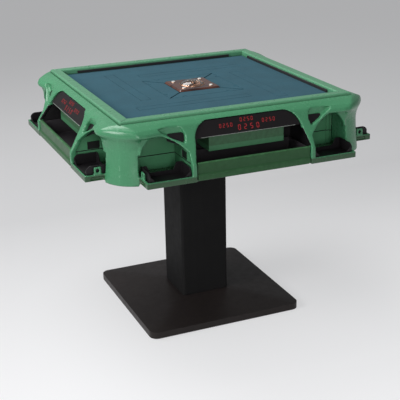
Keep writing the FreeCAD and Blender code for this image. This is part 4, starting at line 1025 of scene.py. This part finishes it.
class TABLE_OT_bay_walls(Step, bpy.types.Operator):
    """Sets a thin wall with a small recess beside each portal, a black block of painted shade behind each
    small window and a strip at each bay's outer end"""

    bl_idname = "table.bay_walls"
    bl_label = "Bay Walls"

    # Reach from the table's centre and height, round the wall and round its recess
    WALL = ((0.306, 0.56), (0.432, 0.56), (0.432, 0.604), (0.38, 0.686), (0.306, 0.686))
    RECESS = ((0.358, 0.604), (0.394, 0.604), (0.394, 0.615), (0.394, 0.626), (0.358, 0.626))
    FLOOR_SHARE = 0.35
    # Place along the side and rise round the block of painted shade behind a window, its foot's reach and
    # height, and its lean
    BLOCK = ((0.182, -0.01), (0.236, 0.014), (0.236, 0.031), (0.182, 0.031))
    BLOCK_FOOT = (0.4005, 0.65)
    BLOCK_LEAN = 0.61
    BLOCK_DEPTH = 4 * MM
    # Place along the side and height, round the strip between the housing and the post
    STRIP = ((0.296, 0.56), (0.3135, 0.56), (0.3135, 0.686), (0.296, 0.686))
    STRIP_DEPTH = 3.2 * MM
    STRIP_SINK = 3 * MM

    def build(self, forms, made):
        for name, build, finish, slot in (
            ("bay_walls", self.pair, "housing", "housing_green"),
            ("panel_ends", self.blocks, "tray", "tray_black"),
        ):
            for piece in on_each_side(name, as_mesh(name, build), made[finish]).values():
                round_edge(piece, 0.8 * MM, 2)

    def blocks(self, shape):
        """The blocks of painted shade behind both windows of the front side."""
        reach, height = self.BLOCK_FOOT
        back = (0, self.BLOCK_LEAN, 1, -reach)
        for end in (-1, 1):
            leaning = Matrix(((end, 0, 0, 0), back, (0, 1, 0, height), (0, 0, 0, 1)))
            add_slab(shape, self.BLOCK, leaning, self.BLOCK_DEPTH)

    def pair(self, shape):
        """The walls and strips at both ends of the front side."""
        back = (0, 0, 1, -self.WALL[0][0] - self.STRIP_SINK)
        upright = Matrix(((1, 0, 0, 0), back, (0, 1, 0, 0), (0, 0, 0, 1)))
        for end in (-1, 1):
            self.add_wall(shape, end)
            strip = [(along * end, height) for along, height in self.STRIP]
            add_slab(shape, strip, upright, self.STRIP_DEPTH)

    def add_wall(self, shape, end):
        """A wall from the portal's face to the bay's, with the recess on the bay's side."""
        def ring(outline, share):
            place = end * (WALL_PLACE + (share - 0.5) * WALL_THICKNESS)
            return [shape.verts.new((place, -reach, height)) for reach, height in outline]

        rings = [ring(self.WALL, share) for share in (0, 1)]
        rings += [ring(self.RECESS, share) for share in (1, self.FLOOR_SHARE)]
        shape.faces.new(rings[0])
        shape.faces.new(rings[-1])
        for first, second in zip(rings, rings[1:]):
            add_sleeve(shape, first, second)


class TABLE_OT_pedestal(Step, bpy.types.Operator):
    """Finishes the base, the column and their fasteners"""

    bl_idname = "table.pedestal"
    bl_label = "Pedestal"

    def build(self, forms, made):
        dress("base_plate", made["base"], 3.0 * MM, 4, 40)
        dress("base_column", made["column"], 1.0 * MM)
        dress("base_glides", made["rubber"], 0.6 * MM)
        dress("pedestal_bolts", made["steel"], 0.8 * MM)


class TABLE_OT_works(Step, bpy.types.Operator):
    """Finishes the lift guides, the drum, its drive and the electrics"""

    bl_idname = "table.works"
    bl_label = "Works"

    FINISH_OF = {
        "lift_guides": "alloy", "centre_sleeve": "alloy", "shuffle_disc": "grey", "drum_wall": "grey",
        "drive_motor": "paint", "drive_wheel": "rubber", "control_box": "paint", "power_inlet": "tray",
    }

    def build(self, forms, made):
        for name, finish in self.FINISH_OF.items():
            dress(name, made[finish], 0.6 * MM, 2)


class TABLE_OT_stage(bpy.types.Operator):
    """Sets the floor, the light and the camera"""

    bl_idname = "table.stage"
    bl_label = "Stage"

    # How widely a lamp's light fans out, as from a soft box with a grid
    FAN = math.radians(120)
    # Where the lamps are aimed, and each lamp's place, size and power
    AIM = Vector((0, 0, 0.6))
    LAMPS = {
        "key_light": ((-3.3, -0.9, 2.4), 1.6, 36.5),
        "fill_light": ((-1.5, -4.8, 1.5), 2.2, 26.0),
        "top_light": ((-1.0, 1.5, 3.4), 2.4, 39.0),
    }
    SKY_TINT = (0.95, 0.97, 1.0, 1.0)
    # The floor's size, the share of its colour that takes light, and its glow from far to near
    FLOOR_SIZE = 20.0
    LIT_SHARE = 0.4
    GLOW = (0.42, 0.8)
    GLOW_PLACES = (0.9, -0.6)

    def execute(self, context):
        settings = context.scene.table_stage
        self.camera(context, settings)
        self.floor(context)
        for name, (place, size, power) in self.LAMPS.items():
            lamp = bpy.data.lights.new(name, "AREA")
            lamp.energy, lamp.size, lamp.spread = power, size, self.FAN
            holder = placed(name, lamp)
            holder.location = place
            holder.rotation_euler = (self.AIM - Vector(place)).to_track_quat("-Z", "Y").to_euler()
        world = bpy.data.worlds.new("studio")
        world.use_nodes = True
        back = world.node_tree.nodes["Background"]
        back.inputs["Color"].default_value = self.SKY_TINT
        back.inputs["Strength"].default_value = settings.sky
        context.scene.world = world
        context.scene.view_settings.view_transform = "Standard"
        return {"FINISHED"}

    @staticmethod
    def camera(context, settings):
        lens = bpy.data.cameras.new("photo_camera")
        lens.sensor_width = 36.0
        lens.lens = settings.lens
        holder = placed("photo_camera", lens)
        turn = Matrix.Rotation(settings.azimuth, 4, "Z")
        tilt = Matrix.Rotation(math.pi / 2 - settings.elevation, 4, "X")
        roll = Matrix.Rotation(settings.roll, 4, "Z")
        holder.matrix_world = Matrix.Translation(settings.camera_place) @ turn @ tilt @ roll
        context.scene.camera = holder

    def floor(self, context):
        def sheet(shape):
            bmesh.ops.create_grid(shape, x_segments=8, y_segments=8, size=self.FLOOR_SIZE)

        floor = placed("studio_floor", as_mesh("studio_floor", sheet))
        finish = Finish("studio_paper", Roughness=0.9, Specular_IOR_Level=0.1, Emission_Strength=1.0)
        tint = context.scene.table_colours.floor_pale
        patch = finish.remap(finish.clouds(finish.place(), 0.8, 3.0), 0.3, 0.7, -0.015, 0.015)
        depth = finish.put("SeparateXYZ", {"Vector": finish.place()}).outputs["Y"]
        rays = finish.put("LightPath").outputs
        seen = rays["Is Camera Ray"]
        for ray in ("Is Glossy Ray", "Is Transmission Ray"):
            seen = finish.most(seen, rays[ray])
        glow = finish.times(seen, finish.remap(depth, *self.GLOW_PLACES, *self.GLOW))
        paper = finish.shaded(rgba(tint, self.LIT_SHARE), finish.plus(patch, 1.0))
        finish.join(Emission_Color=finish.shaded(rgba(tint), glow), Base_Color=paper)
        floor.data.materials.append(finish.material)


class TABLE_PT_looks(bpy.types.Panel):
    """Lists the table's pieces and settings"""

    bl_idname = "TABLE_PT_looks"
    bl_label = "Mahjong Table"
    bl_space_type = "VIEW_3D"
    bl_region_type = "UI"
    bl_category = "Table"

    def draw(self, context):
        for operator in OPERATORS:
            self.layout.operator(operator.bl_idname)
        for name, group in SETTINGS.items():
            box = self.layout.box()
            settings = getattr(context.scene, name)
            for setting in group.__annotations__:
                box.prop(settings, setting, text=setting.replace("_", " ").capitalize())


OPERATORS = (
    TABLE_OT_stage,
    TABLE_OT_pedestal,
    TABLE_OT_housings,
    TABLE_OT_bay_walls,
    TABLE_OT_frames,
    TABLE_OT_rim,
    TABLE_OT_field,
    TABLE_OT_console,
    TABLE_OT_displays,
    TABLE_OT_drawers,
    TABLE_OT_trays,
    TABLE_OT_works,
)
SETTINGS = {"table_colours": TableColours, "table_forms": TableForms, "table_stage": TableStage}


def register():
    for group in SETTINGS.values():
        bpy.utils.register_class(group)
    for name, group in SETTINGS.items():
        setattr(bpy.types.Scene, name, PointerProperty(type=group))
    for operator in OPERATORS:
        bpy.utils.register_class(operator)
    bpy.utils.register_class(TABLE_PT_looks)


def unregister():
    bpy.utils.unregister_class(TABLE_PT_looks)
    for operator in reversed(OPERATORS):
        bpy.utils.unregister_class(operator)
    for name in SETTINGS:
        delattr(bpy.types.Scene, name)
    for group in reversed(SETTINGS.values()):
        bpy.utils.unregister_class(group)


def main():
    register()
    for operator in OPERATORS:
        family, name = operator.bl_idname.split(".")
        getattr(getattr(bpy.ops, family), name)()


if __name__ == "__main__":
    main()
